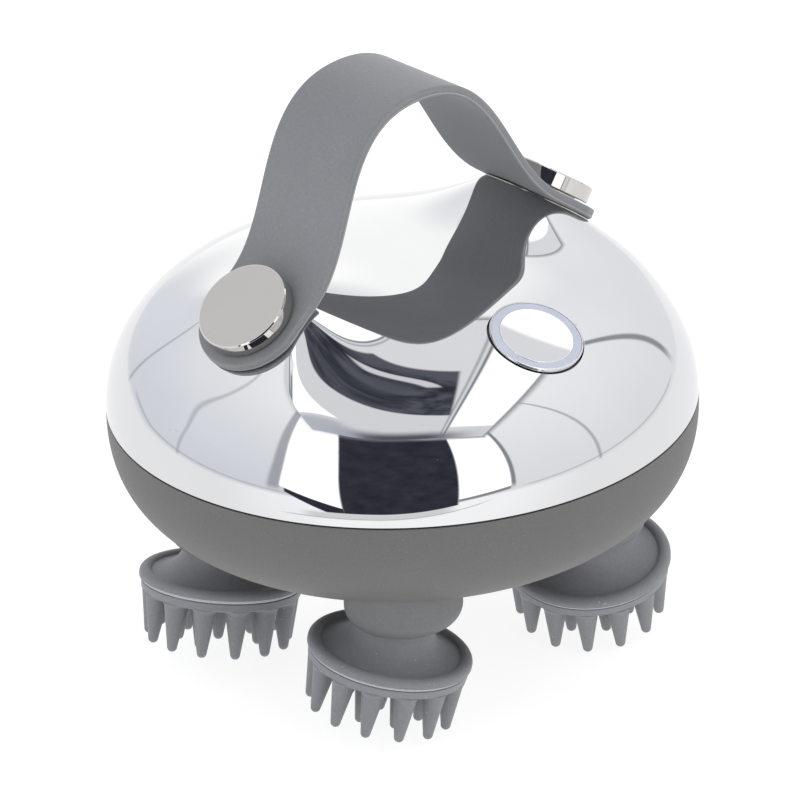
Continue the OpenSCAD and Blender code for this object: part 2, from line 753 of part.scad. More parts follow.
// Moulded frame on the gear plate: it holds the motor, the far end of the worm
// and the top of the sun gear's pin, and carries the control board
module motor_frame() color([0.3, 0.31, 0.33]) {
    cradle_w = 2 * motor_r;
    wall_top = worm_z + 6 - deck_z;
    difference() {
        union() {
            translate([motor_x, worm_y - cradle_w / 2, deck_z])
                cube([motor_l, cradle_w, worm_z - motor_flat / 2 - deck_z]);
            translate([motor_x - frame_wall, worm_y - cradle_w / 2, deck_z])
                cube([frame_wall, cradle_w, wall_top]);
            translate([bush_x - frame_wall / 2, worm_y - 5, deck_z])
                cube([frame_wall, 10, wall_top]);
            // sole plate that joins the two walls under the worm
            translate([bush_x - frame_wall / 2, worm_y - 5, deck_z])
                cube([motor_x - bush_x, 10, sole_t]);
            // bridge over the worm wheel
            translate([-bridge_x - leg_t / 2, -bridge_w / 2, bridge_z])
                cube([2 * bridge_x + leg_t, bridge_w, bridge_t]);
            for (side = [-1, 1]) {
                translate([side * bridge_x - leg_t / 2, -bridge_w / 2, deck_z])
                    cube([leg_t, bridge_w, bridge_z - deck_z + eps]);
                translate([side * control_post_x, 0, 0])
                    rod(control_post_r, bridge_z + bridge_t - eps, control_board_z);
                // feet of the bridge
                translate([side * (bridge_x + 3.5) - 5, -bridge_w / 2, deck_z]) cube([10, bridge_w, sole_t]);
            }
            // tie between the bridge's foot and the motor's bed
            translate([bridge_x - leg_t / 2, 0, deck_z])
                cube([leg_t, worm_y - cradle_w / 2 + frame_wall, worm_z - motor_flat / 2 - deck_z]);
        }
        translate([motor_x - frame_wall - 1, worm_y, worm_z]) rotate([0, 90, 0])
            cylinder(r = 3, h = frame_wall + 2);
        translate([bush_x - frame_wall, worm_y, worm_z]) rotate([0, 90, 0])
            cylinder(r = motor_shaft_r + running_gap + 1.5, h = 2 * frame_wall);
        rod(pin_r, bridge_z - 1, bridge_z + bridge_t + 1);
        for (side = [-1, 1]) {
            translate([side * (bridge_x + 5.5), 0, 0]) rod(screw_r, deck_z - 1, deck_z + sole_t + 1);
            translate([side * control_post_x, 0, 0]) rod(0.8, control_board_z - 5, control_board_z + 1);
        }
    }
}

module frame_screws() color([0.6, 0.6, 0.62])
    for (side = [-1, 1]) translate([side * (bridge_x + 5.5), 0, 0]) {
        rod(2.4, deck_z + sole_t, deck_z + sole_t + 1.4);
        rod(screw_r, plate_z, deck_z + sole_t + eps);
    }

module gear_plate() color([0.75, 0.76, 0.78])
    difference() {
        rod(plate_r, plate_z, deck_z);
        rod(hub_r + hub_gap, plate_z - 1, deck_z + 1);
        at_heads() rod(shaft_r + running_gap + bush_w, plate_z - 1, deck_z + 1);
        at_case_screws() rod(tower_r + 0.4, plate_z - 1, deck_z + 1);
        at_posts() rod(screw_r, plate_z - 1, deck_z + 1);
        for (side = [-1, 1]) translate([side * (bridge_x + 5.5), 0, 0]) rod(screw_r, plate_z - 1, deck_z + 1);
    }

module plate_screws() color([0.6, 0.6, 0.62])
    at_posts() {
        rod(screw_head_r, deck_z, deck_z + screw_head_h);
        rod(screw_r - 0.25, plate_z - 7, deck_z + eps);
    }

// ---- Power and electronics ----

module battery() color([0.2, 0.45, 0.6])
    translate([-cell_l / 2, cell_y, cell_z]) rotate([0, 90, 0]) {
        cylinder(r = cell_r, h = cell_l);
        translate([0, 0, cell_l - eps]) cylinder(r = 3, h = 0.8);
    }

module battery_tray() color([0.3, 0.31, 0.33]) {
    tray_l = cell_l + 2 * (tray_wall + 1);
    tray_w = 2 * (cell_r + tray_wall);
    difference() {
        translate([-tray_l / 2, cell_y - tray_w / 2, deck_z])
            cube([tray_l, tray_w, cell_r + tray_wall + 1]);
        translate([-cell_l / 2 - 1, cell_y, cell_z]) rotate([0, 90, 0]) cylinder(r = cell_r, h = cell_l + 2);
        translate([-cell_l / 2 - 1, cell_y - cell_r, cell_z])
            cube([cell_l + 2, 2 * cell_r, cell_r + tray_wall + 2]);
    }
}

module control_board() color([0.1, 0.35, 0.2])
    translate([0, 0, control_board_z]) difference() {
        union() {
            translate([-control_board_l / 2, -control_board_w / 2, 0])
                cube([control_board_l, control_board_w, board_t]);
            // controller, driver and two plug sockets
            translate([-4, -4, board_t - eps]) cube([8, 8, 1.2]);
            translate([-21, -8, board_t - eps]) cube([5, 6, 1.5]);
            for (side = [-1, 1]) translate([side * 19 - 2.5, 4, board_t - eps]) cube([5, 7, 5]);
        }
        for (side = [-1, 1]) translate([side * control_post_x, 0, -1]) cylinder(r = 1, h = board_t + 2);
    }

module charge_board() color([0.1, 0.35, 0.2])
    translate([-charge_board_w / 2, charge_board_y, port_z - socket_h / 2 - board_t])
        cube([charge_board_w, port_y - wall - charge_board_y, board_t]);

module charging_socket() color([0.72, 0.72, 0.74])
    translate([0, 0, port_z]) {
        mouth_y = port_y - wall / 2;
        difference() {
            slot_bar(socket_w, socket_h, mouth_y - socket_l, mouth_y);
            slot_bar(socket_w - 2 * socket_wall, socket_h - 2 * socket_wall, mouth_y - socket_l + 1, mouth_y + 1);
        }
        translate([-3.3, mouth_y - socket_l + 1 - eps, -0.35]) cube([6.6, 5, 0.7]);
    }

// Silicone lid that seals the port, flush with the shell
module port_plug() color([0.42, 0.42, 0.43])
    intersection() {
        base_solid(0.05, $fn = 288);
        translate([0, 0, port_z]) {
            slot_bar(lid_w, lid_h, port_y + 1 + lid_gap, case_r);
            slot_bar(port_hole_w - 2 * lid_gap, port_hole_h - 2 * lid_gap, port_y - wall / 2 + lid_gap, port_y + 2);
        }
    }

top_shell();
bottom_shell();
shell_seal();
case_screws();
strap();
strap_cap(-1);  // strap_cap_left
strap_cap(1);  // strap_cap_right
strap_nuts();
button_bezel();
button_disc();
light_guide();
switch_plunger();
button_seal();
tact_switch();
button_board();
button_leds();
board_screws();
neck_collar(FRONT_LEFT);  // neck_collar_front_left
neck_collar(FRONT_RIGHT);  // neck_collar_front_right
neck_collar(REAR_LEFT);  // neck_collar_rear_left
neck_collar(REAR_RIGHT);  // neck_collar_rear_right
shaft_seals();
lower_bushes();
upper_bushes();
crank_shaft(FRONT_LEFT);  // crank_shaft_front_left
crank_shaft(FRONT_RIGHT);  // crank_shaft_front_right
crank_shaft(REAR_LEFT);  // crank_shaft_rear_left
crank_shaft(REAR_RIGHT);  // crank_shaft_rear_right
head_core(FRONT_LEFT);  // head_core_front_left
head_core(FRONT_RIGHT);  // head_core_front_right
head_core(REAR_LEFT);  // head_core_rear_left
head_core(REAR_RIGHT);  // head_core_rear_right
claw(FRONT_LEFT);  // claw_front_left
claw(FRONT_RIGHT);  // claw_front_right
claw(REAR_LEFT);  // claw_rear_left
claw(REAR_RIGHT);  // claw_rear_right
head_gear(FRONT_LEFT);  // head_gear_front_left
head_gear(FRONT_RIGHT);  // head_gear_front_right
head_gear(REAR_LEFT);  // head_gear_rear_left
head_gear(REAR_RIGHT);  // head_gear_rear_right
gear_plate();
plate_screws();
sun_gear();
sun_pin();
motor_frame();
frame_screws();
motor();
motor_shaft();
worm();
worm_bush();
battery();
battery_tray();
control_board();
charge_board();
charging_socket();
port_plug();
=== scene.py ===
import bpy
import numpy as np
from math import radians, sin, cos, tan, pi
from mathutils import Matrix, Vector


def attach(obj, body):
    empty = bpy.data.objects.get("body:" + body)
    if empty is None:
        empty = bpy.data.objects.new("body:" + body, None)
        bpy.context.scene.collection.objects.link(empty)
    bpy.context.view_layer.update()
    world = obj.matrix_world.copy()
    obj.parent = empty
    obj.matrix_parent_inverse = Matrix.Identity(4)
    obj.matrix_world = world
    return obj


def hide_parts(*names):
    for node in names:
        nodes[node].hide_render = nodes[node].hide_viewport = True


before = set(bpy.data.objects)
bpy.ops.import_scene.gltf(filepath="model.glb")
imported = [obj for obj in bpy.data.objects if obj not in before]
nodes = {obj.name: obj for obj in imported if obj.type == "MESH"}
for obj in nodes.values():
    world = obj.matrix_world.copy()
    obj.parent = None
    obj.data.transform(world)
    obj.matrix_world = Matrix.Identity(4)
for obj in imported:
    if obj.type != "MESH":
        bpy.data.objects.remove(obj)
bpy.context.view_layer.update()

# ---- Camera ----
# A long lens, almost three metres away, looks down on the front left of the
# massager, so that all four heads, the button and both strap caps are framed.
view_az, view_el, view_roll = radians(-43.14), radians(26.23), radians(-1.95)
view_away, aim_right, aim_up = 2.941, -0.00056, 0.06042
lens_length, film_width, sight_end = 581.6, 36, 50
view_back = Vector((sin(view_az) * cos(view_el), -cos(view_az) * cos(view_el), sin(view_el)))
view_right = Vector((cos(view_az), sin(view_az), 0))
view_up = view_back.cross(view_right)
level_right = view_right.copy()
view_right, view_up = (view_right * cos(view_roll) + view_up * sin(view_roll),
                       view_up * cos(view_roll) - view_right * sin(view_roll))
camera = bpy.data.objects.new("camera", bpy.data.cameras.new("camera"))
bpy.context.scene.collection.objects.link(camera)
camera.data.lens = lens_length
camera.data.sensor_width = film_width
camera.data.clip_end = sight_end
placing = Matrix((view_right, view_up, view_back)).transposed().to_4x4()
placing.translation = level_right * aim_right + Vector((0, 0, aim_up)) + view_back * view_away
camera.matrix_world = placing
bpy.context.scene.camera = camera
bpy.context.scene.view_settings.view_transform = "Standard"

# ---- Light tent and table ----
# The massager stands on a white table in a white cloth tent: strip lights and a
# dark rig above, two bright panels, and a dark opening between them in front.


class Value:
    """A socket's value in a node tree. An expression on values adds its Math nodes."""
    def __init__(self, tree, socket):
        self.tree, self.socket = tree, socket

    def math(self, operation, *values):
        return self.tree.node("ShaderNodeMath", {"operation": operation}, dict(enumerate(values)))

    def __add__(self, other):
        return self.math("ADD", self, other)

    def __radd__(self, other):
        return self.math("ADD", other, self)

    def __sub__(self, other):
        return self.math("SUBTRACT", self, other)

    def __rsub__(self, other):
        return self.math("SUBTRACT", other, self)

    def __mul__(self, other):
        return self.math("MULTIPLY", self, other)

    def __rmul__(self, other):
        return self.math("MULTIPLY", other, self)

    def __truediv__(self, other):
        return self.math("DIVIDE", self, other)

    def __rtruediv__(self, other):
        return self.math("DIVIDE", other, self)

    def __abs__(self):
        return self.math("ABSOLUTE", self)

    def over(self, low, high):
        """0 below low, 1 above high, smooth between them."""
        return self.tree.node("ShaderNodeMapRange", {"interpolation_type": "SMOOTHSTEP"},
                              {"Value": self, "From Min": low, "From Max": high})

    def within(self, low, high, soft):
        """1 between low and high and 0 outside them, with soft edges."""
        return (self - low).over(-soft, soft) * (high - self).over(-soft, soft)

    def dot(self, vector):
        return self.tree.node("ShaderNodeVectorMath", {"operation": "DOT_PRODUCT"},
                              {0: self, 1: vector}, out="Value")


class Nodes:
    """The node tree of a material or of the world."""
    def __init__(self, owner):
        owner.use_nodes = True
        self.tree = owner.node_tree
        self.tree.nodes.clear()

    def node(self, kind, settings={}, sockets={}, out=0):
        made = self.tree.nodes.new(kind)
        for name, setting in settings.items():
            setattr(made, name, setting)
        for name, value in sockets.items():
            if isinstance(value, Value):
                self.tree.links.new(value.socket, made.inputs[name])
            else:
                made.inputs[name].default_value = value
        return Value(self, made.outputs[out]) if made.outputs else made

    def mix(self, factor, low, high):
        """A colour between two others."""
        return self.node("ShaderNodeMix", {"data_type": "RGBA"}, {0: factor, 6: low, 7: high}, out=2)


def ink(red, green, blue):
    """A colour from its 0 to 255 values on a screen."""
    return tuple((c / 255 / 12.92 if c < 10.3 else ((c / 255 + 0.055) / 1.055) ** 2.4)
                 for c in (red, green, blue)) + (1.0,)


world = bpy.data.worlds.new("light_tent")
bpy.context.scene.world = world
tent = Nodes(world)
# a direction's degrees are turn, 0 towards the camera and growing to the right, and lift
way = tent.node("ShaderNodeTexCoord", out="Generated")
to_right = way.dot((cos(view_az), sin(view_az), 0))
to_front = way.dot((sin(view_az), -cos(view_az), 0))
rise = way.dot((0, 0, 1))
turn = to_right.math("ARCTAN2", to_right, to_front) * (180 / pi)
lift = rise.math("ARCSINE", rise) * (180 / pi)
# places on a flat ceiling one length up: to the right, and away from the camera
height = rise.math("MAXIMUM", rise, 0.01)
across, deep = to_right / height, to_front / height * -1

panel_white, strip_white = (1.25, 1.25, 1.27, 1), (1.2, 1.2, 1.22, 1)
hard = 0.6

# walls, paler to the right and higher up, with a bright gap at the very back
walls = tent.mix(to_right.over(-1, 1), ink(208, 211, 217), ink(221, 222, 224))
walls = tent.mix(lift.over(-6, 75), walls, ink(238, 239, 240))
walls = tent.mix(abs(turn).over(160, 173), walls, ink(249, 249, 248))
creases = (turn.within(77.8, 79, 0.8) * 0.8 + turn.within(133.5, 136.3, 0.8) * (lift - 2).over(-6, 6)
           + turn.within(-95.5, -94, 0.8) * 0.5 + turn.within(-137.5, -136, 0.8) * 0.6)
walls = tent.mix(creases, walls, ink(142, 144, 149))
floor_line = lift.within(-2.6, -1.6, 0.5) * abs(turn).within(46, 128, 4)
walls = tent.mix(floor_line * 0.6, walls, ink(160, 162, 166))

# the two bright panels beside the opening, with slanting feet and grey corners
panel_left, panel_right = -48, 39.6 + lift * 0.045
opening_left, opening_right = -24.3 - lift * 0.08, 19.6 + lift * 0.045
foot_left, foot_right = 3 - (turn - panel_left) * 0.52, -3.5 + (turn - 20) * 0.2
beside_left = (turn - panel_left).over(-hard, hard) * (opening_left - turn).over(-hard, hard)
beside_right = (turn - opening_right).over(-hard, hard) * (panel_right - turn).over(-hard, hard)
panels = beside_left * (lift - foot_left).over(-0.5, 0.5) + beside_right * (lift - foot_right).over(-0.5, 0.5)
corners = turn.within(-53, panel_left, 1.2) * 0.7 + (turn - panel_right - 1.4).within(-1.2, 0.6, 0.5)
walls = tent.mix(corners * lift.over(-3, 3), walls, ink(132, 135, 142))
walls = tent.mix(panels, walls, panel_white)

# table below, greyer just in front of the opening's curved sill
table = tent.mix(to_front.over(0.2, 0.95), ink(230, 230, 231), ink(246, 247, 248))
walls = tent.mix((-3 - lift).over(0, 2.5) * (1 - panels), walls, table)
past_bend = turn.math("MAXIMUM", turn + 12, 0)
over_sill = lift + 14 - past_bend * past_bend * 0.0055
walls = tent.mix(over_sill.within(-5, 0, 1.5) * turn.within(-38, 17, 4), walls, ink(210, 209, 209))
sill_line = over_sill.within(-5.2, -4.5, 0.4) * turn.within(-46, 30, 4)
walls = tent.mix(sill_line * 0.7, walls, ink(146, 146, 150))
shade_right = beside_right * (lift - foot_right).within(-2.6, -0.3, 0.5)
walls = tent.mix(shade_right * 0.8, walls, ink(96, 98, 104))

# dark opening, which runs on as a thin wedge below the left panel
opening = ((turn - opening_left).over(-hard, hard) * (opening_right - turn).over(-hard, hard)
           * over_sill.over(-0.5, 0.5))
under_foot = lift - foot_left + 2.4 + (turn - panel_left) * 0.28
below_left = ((foot_left - lift).over(-0.4, 0.4) * under_foot.over(-0.4, 0.4) * (turn + 46).over(-hard, hard)
              * over_sill.over(-0.5, 0.5))
opening = opening.math("MAXIMUM", opening, below_left * (opening_left - turn).over(-1.5, 0))
cloth = tent.node("ShaderNodeTexNoise", {}, {"Vector": way, "Scale": 9.0, "Detail": 3.0})
inside = tent.mix(cloth, ink(26, 27, 38), ink(62, 63, 72))
walls = tent.mix(opening, walls, inside)

# ceiling, dark where it meets the opening, with a strip light on either side
roof = tent.mix(deep.over(-0.35, 0.3), ink(211, 213, 216), ink(218, 219, 221))
shade_front = (-0.53 - deep).over(0, 0.16) * (0.62 - abs(across)).over(0, 0.5)
roof = tent.mix(shade_front, roof, ink(84, 86, 94))
shade_left = (-0.47 - deep).over(0, 0.08) * (-0.22 - across).over(0, 0.12)
roof = tent.mix(shade_left * 0.8, roof, ink(172, 176, 185))
lamp_left, lamp_right = across + 0.5 - (deep + 0.17) * 0.47, -0.41 - (deep + 0.2) * 0.5 - across
lamp_rows = deep.within(-0.475, -0.16, 0.01)
roof = tent.mix(lamp_left.within(-0.034, -0.012, 0.008) * lamp_rows, roof, ink(128, 131, 138))
lamp = lamp_left.over(-0.008, 0.008) * lamp_right.over(-0.012, 0.012) * lamp_rows
roof = tent.mix(lamp, roof, strip_white)
slant = across + 0.5 - (deep + 0.05) * 0.34
strip_left = (slant.over(-0.008, 0.008) * (-0.355 - across).over(-0.006, 0.006)
              * (deep + 0.14).over(-0.03, 0.03))
strips = across.within(0.275, 0.58, 0.012) * deep.within(-0.5, 0.7, 0.02) + strip_left
roof = tent.mix(strips, roof, strip_white)
seams = (slant.within(-0.022, -0.006, 0.008) + (across - 0.265).within(-0.006, 0.006, 0.006)
         + (across - 0.24).within(-0.006, 0.006, 0.006) * 0.6)
roof = tent.mix(seams, roof, ink(120, 124, 132))

# the dark rig that hangs over the table, with a light slit across it
bow = 0.24 - across
left_side = across + 0.235 + deep.over(-0.1, 0.3) * 0.045
right_side = 0.215 - deep * 0.083 - across
front_side = deep + 0.3 - bow * bow * 0.75
back_side = 0.3 + (bow - 0.05) * (bow - 0.05) * 1.9 - deep
rig = (left_side.over(-0.012, 0.012) * right_side.over(-0.01, 0.01) * front_side.over(-0.012, 0.012)
       * back_side.over(-0.015, 0.015))
tail = across.within(-0.26, -0.09, 0.012) * (deep - 0.3).over(-0.05, 0.05) * (0.85 - deep).over(-0.03, 0.03)
rig_tone = tent.mix(cloth.over(0.35, 0.65), ink(46, 48, 57), ink(84, 87, 96))
roof = tent.mix(rig.math("MAXIMUM", rig, tail), roof, rig_tone)
slit_at = across - 0.13 + deep.over(0.05, 0.45) * 0.27
slit = slit_at.within(-0.028, 0.028, 0.01) * (deep - 0.1).over(-0.015, 0.02) * (0.8 - deep).over(0, 0.05)
roof = tent.mix(slit, roof, ink(206, 207, 210))

# the ceiling's outline, and the shade on the walls beside it
roof_half, roof_middle, roof_depth = 0.59, 0.11, 0.84
past_roof = abs(across).math("MAXIMUM", abs(across) - roof_half, abs(deep - roof_middle) - roof_depth)
is_roof = (0 - past_roof).over(-0.004, 0.004) * lift.over(20, 24)
shade_beside = (0.08 - past_roof).over(0, 0.08) * (across.over(0, 0.2) * 0.6 + 0.4) * lift.over(20, 24)
walls = tent.mix(shade_beside, walls, ink(150, 153, 159))
sky = tent.mix(is_roof, walls, roof)
seen = tent.node("ShaderNodeLightPath", out="Is Camera Ray")
lit_cloth = tent.node("ShaderNodeBackground", {}, {"Color": sky, "Strength": 1.325})
plain = tent.node("ShaderNodeBackground", {}, {"Color": (1, 1, 1, 1), "Strength": 1.0})
shown = tent.node("ShaderNodeMixShader", {}, {0: seen, 1: lit_cloth, 2: plain})
tent.node("ShaderNodeOutputWorld", {}, {"Surface": shown})
world.cycles.sampling_method = "MANUAL"
world.cycles.sample_map_resolution = 512

# the table is seen from above and clear from below, and lies just under the tines
table_half, table_gap = 4, 0.0002
table_mesh = bpy.data.meshes.new("table")
table_mesh.from_pydata([(x * table_half, y * table_half, -table_gap)
                        for x, y in ((-1, -1), (1, -1), (1, 1), (-1, 1))], [], [(0, 1, 2, 3)])
table_top = bpy.data.objects.new("table", table_mesh)
bpy.context.scene.collection.objects.link(table_top)
cover = bpy.data.materials.new("table_cover")
table_mesh.materials.append(cover)
lay = Nodes(cover)
glow = lay.node("ShaderNodeEmission", {}, {"Color": (1, 1, 1, 1), "Strength": 0.86})
matt = lay.node("ShaderNodeBsdfDiffuse", {}, {"Color": (0.3, 0.3, 0.3, 1)})
both = lay.node("ShaderNodeAddShader", {}, {0: glow, 1: matt})
from_below = lay.node("ShaderNodeNewGeometry", out="Backfacing")
clear = lay.node("ShaderNodeBsdfTransparent")
lay.node("ShaderNodeOutputMaterial", {}, {
    "Surface": lay.node("ShaderNodeMixShader", {}, {0: from_below, 1: both, 2: clear})})
table_top.visible_glossy = False

# ---- Upper shell ----
# A deep dome moulded in ABS and chromed all over, with two raised seats that the
# strap's ends lie on and a round hole for the button. It stands on the seam seal, and
# the case screws hold it down from below.
MM = 0.001
dome_r, dome_h, dome_z, dome_a, dome_b = 67.5, 33.8, 61.755, 3.37, 0.494
wall, edge_ease, shell_far = 2.2, 0.14, 25
crown, crown_r = 1.6, 58
seat_x, seat_z, seat_tilt, seat_r, seat_step = 44.3, 96.255, radians(37), 12.75, 0.4
hill_run, hill_run_more, hill_cut, hill_fall, hill_fall_less = 25.9, 4.9, 15, 1.84, 0.89
button_y, button_tilt, button_lift = 44.7, radians(22.8), 0.35
button_hole, button_hole_inside, button_hole_deep, hole_ease = 11.35, 13.2, 1.9, 0.15


def bowl(r, h, z, a, b, up, crown=0.0):
    """A shell's outline as radii and heights, and the field whose zero is its face."""
    s = np.linspace(0, 1, 4000)
    rr = r * (1 - (1 - s) ** 2.2)

    def swell(rad):
        return crown * np.maximum(1 - (rad / crown_r) ** 2, 0) ** 3

    def level(rad):
        return z + up * h * np.maximum(1 - (rad / r) ** a, 0) ** b + swell(rad)

    zz = level(rr)
    along = np.concatenate([[0], np.cumsum(np.hypot(np.diff(rr), np.diff(zz)))])
    at = np.linspace(0, along[-1], int(along[-1] / 0.6))
    rr = np.interp(at, along, rr)
    zz = level(rr)

    def field(p):
        rad = np.maximum(np.hypot(p[..., 0], p[..., 1]), 1e-9)
        rise = np.maximum(up * (p[..., 2] - swell(rad) - z) / h, 1e-9)
        value = (rad / r) ** a + rise ** (1 / b) - 1
        slope_z = up / b / h * rise ** (1 / b - 1)
        swell_r = -6 * crown * rad / crown_r ** 2 * np.maximum(1 - (rad / crown_r) ** 2, 0) ** 2
        slope_r = a / r * (rad / r) ** (a - 1) - slope_z * swell_r
        grad = np.stack([slope_r * p[..., 0] / rad, slope_r * p[..., 1] / rad, slope_z], -1)
        return value, grad
    return rr, zz, field


def unit(v):
    return v / np.maximum(np.linalg.norm(v, axis=-1, keepdims=True), 1e-12)


def axes(origin, x, z):
    """A frame: its origin and its three axes."""
    x, z = unit(np.array(x, float)), unit(np.array(z, float))
    return np.array(origin, float), np.stack([x, np.cross(z, x), z])


def put(place, local):
    return place[0] + local @ place[1]


def in_plane(place, flat):
    """Points drawn in a frame's plane."""
    return put(place, np.concatenate([flat, np.zeros(flat.shape[:-1] + (1,))], -1))


def onto(field, place, flat):
    """Points of a frame's plane carried along its axis onto a shell's face."""
    p = in_plane(place, flat)
    for _ in range(40):
        value, grad = field(p)
        step = -value / (grad @ place[1][2])
        p = p + np.clip(step, -1.5, 1.5)[..., None] * place[1][2]
    return p


def revolve(r, z, count):
    """A grid of points turned from radii and heights."""
    bearing = np.linspace(0, 2 * pi, count, endpoint=False)
    return np.stack([r[:, None] * np.cos(bearing), r[:, None] * np.sin(bearing),
                     np.repeat(z[:, None], count, 1)], -1)


def rounded(corners):
    """An outline through (radius, height, rounding) corners, with the normals on its right."""
    pts, nrm = [], []
    fine = 6
    c = np.array(corners, float)
    for i, (r, z, ease) in enumerate(c):
        before = unit(c[i, :2] - c[i - 1, :2]) if i else None
        after = unit(c[i + 1, :2] - c[i, :2]) if i < len(c) - 1 else None
        if before is None or after is None or ease <= 0:
            d = after if before is None else before
            pts.append([r, z])
            nrm.append([d[1], -d[0]])
            continue
        bend = np.arctan2(before[0] * after[1] - before[1] * after[0], before @ after)
        hand = 1 if bend > 0 else -1
        across_it = np.array([-before[1], before[0]])
        centre = np.array([r, z]) - before * ease * tan(abs(bend) / 2) + across_it * hand * ease
        for k in range(fine + 1):
            a = bend * k / fine
            d = before * cos(a) + across_it * sin(a)
            n = np.array([d[1], -d[0]])
            pts.append(centre + n * ease * hand)
            nrm.append(n)
    return np.array(pts), np.array(nrm)


def turned(corners, count, finish=0, place=None):
    """A turned face, as one sheet of a piece, from corners or from points and normals."""
    pts, nrm = corners if isinstance(corners, tuple) else rounded(corners)
    p, n = revolve(pts[:, 0], pts[:, 1], count), revolve(nrm[:, 0], nrm[:, 1], count)
    if place:
        p, n = put(place, p), n @ place[1]
    return p, n, finish, None


def grid_normals(p):
    """Normals of a grid of points that closes round, worked out from its neighbours."""
    return unit(np.cross(np.roll(p, -1, 1) - np.roll(p, 1, 1), np.gradient(p, axis=0)))


def grid_cells(k):
    """Four-cornered faces of a grid of point numbers that closes round."""
    k = np.concatenate([k, k[:, :1]], 1)
    return np.stack([k[:-1, :-1], k[:-1, 1:], k[1:, 1:], k[1:, :-1]], -1).reshape(-1, 4)


def piece(name, sheets, finishes, body, stands_for):
    """One object from sheets of points, normals and a finish's number. A sheet is a grid
    that closes round, unless its faces are given too."""
    points, normals, faces, slots = [], [], [], []
    total = 0
    for p, n, finish, cells in sheets:
        if cells is None:
            rows, cols = p.shape[:2]
            k = np.arange(rows * cols).reshape(rows, cols)
            for row in (0, rows - 1):
                if np.ptp(p[row], axis=0).max() < 1e-7:
                    k[row] = k[row, 0]
            cells = grid_cells(k)
        flat_p, flat_n = p.reshape(-1, 3), n.reshape(-1, 3)
        a, b, c, d = (flat_p[cells[:, j]] for j in range(4))
        if (np.cross(c - a, d - b) * flat_n[cells].mean(1)).sum() < 0:
            cells = cells[:, ::-1]
        for cell in (cells + total).tolist():
            cell = [v for j, v in enumerate(cell) if v != cell[j - 1]]
            if len(cell) > 2:
                faces.append(cell)
                slots.append(finish)
        points.append(flat_p)
        normals.append(flat_n)
        total += len(flat_p)
    mesh = bpy.data.meshes.new(name)
    mesh.from_pydata((np.concatenate(points) * MM).tolist(), [], faces)
    mesh.polygons.foreach_set("material_index", slots)
    mesh.polygons.foreach_set("use_smooth", [True] * len(faces))
    mesh.update()
    mesh.normals_split_custom_set_from_vertices(unit(np.concatenate(normals)).tolist())
    for finish in finishes:
        mesh.materials.append(finish)
    made = bpy.data.objects.new(name, mesh)
    bpy.context.scene.collection.objects.link(made)
    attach(made, body)
    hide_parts(*stands_for)
    return made


def pierced(rr, zz, field, count, holes, facing=1):
    """A shell's face with holes, each a frame, half its straight length and its radius.
    Cells inside a hole go, and those at its edge are drawn onto it."""
    p = revolve(rr, zz, count)
    k = np.arange(p[..., 0].size).reshape(p.shape[:2])
    k[0] = 0
    cells = grid_cells(k)
    p = p.reshape(-1, 3)
    keep = np.ones(len(cells), bool)
    for place, half, radius in holes:
        local = (p - place[0]) @ place[1].T
        spine = np.stack([np.clip(local[:, 0], -half, half), 0 * local[:, 0]], -1)
        away = local[:, :2] - spine
        bearing = np.arctan2(away[:, 1], away[:, 0])
        reach = radius(bearing) if callable(radius) else np.full(len(p), radius)
        # a hole goes through its own side of the shell and not through the far one
        inside = (np.linalg.norm(away, axis=1) < reach) & (np.abs(local[:, 2]) < shell_far)
        gone = inside[cells].sum(1) >= 3
        edge = np.intersect1d(cells[gone], cells[keep & ~gone])
        keep &= ~gone
        p[edge] = onto(field, place, spine[edge] + unit(away[edge]) * reach[edge, None])
    return p, unit(field(p)[1]) * facing, 0, cells[keep]


dome_rr, dome_zz, dome_field = bowl(dome_r, dome_h, dome_z, dome_a, dome_b, 1, crown)
button_z = dome_z + dome_h * (1 - (button_y / dome_r) ** dome_a) ** dome_b + button_lift
button_at = axes((0, -button_y, button_z), (1, 0, 0),
                 (0, -sin(button_tilt), cos(button_tilt)))


def seat(side):
    """The frame of a strap seat: x points outwards, z stands on the seat's face."""
    return axes((side * seat_x, 0, seat_z), (side * cos(seat_tilt), 0, -sin(seat_tilt)),
                (side * sin(seat_tilt), 0, cos(seat_tilt)))


def hill_ease(bearing):
    """How softly a hill runs out into the dome: most to its two sides, least to the rim."""
    out = np.cos(bearing)
    return 1 - np.maximum(out, 0) ** 1.5 - 0.95 * np.maximum(-out, 0) ** 6


def hill_reach(bearing):
    """How far from a seat's middle its hill runs out, for each direction in its plane."""
    out = np.cos(bearing)
    run = hill_run + hill_run_more * out - hill_cut * np.maximum(out, 0) ** 4
    return seat_r + run * (1 + hill_ease(bearing) / 4)


def seat_hill(side):
    """The long hollow flank that carries a seat, from its step out to the dome's own curve."""
    place = seat(side)
    bearing = np.linspace(0, 2 * pi, 288, endpoint=False)
    round_seat = np.stack([np.cos(bearing), np.sin(bearing)], -1)
    t = np.linspace(0, 1, 70)[:, None] ** 1.15
    reach = seat_r + (hill_reach(bearing) - seat_r) * t
    floor = onto(dome_field, place, reach[..., None] * round_seat)
    depth = (floor - place[0]) @ place[1][2]
    ease = hill_ease(bearing)
    fall = (hill_fall - hill_fall_less * np.cos(bearing)) * (1 + ease / 4)
    share = (1 - t) ** (3 + ease) * (1 + (3 + ease - fall) * t)
    level = depth * (1 - share) - seat_step * share
    p = put(place, np.concatenate([reach[..., None] * round_seat, level[..., None]], -1))
    n = grid_normals(p)
    if (n[30] * place[1][2]).sum() < 0:
        n = -n
    n[-1] = unit(dome_field(floor[-1])[1])
    # a last row tucks under the dome's own face
    past = onto(dome_field, place, (reach[-1] + 0.3)[:, None] * round_seat) - place[1][2] * 0.02
    return np.concatenate([p, past[None]]), np.concatenate([n, n[-1:]]), 0, None


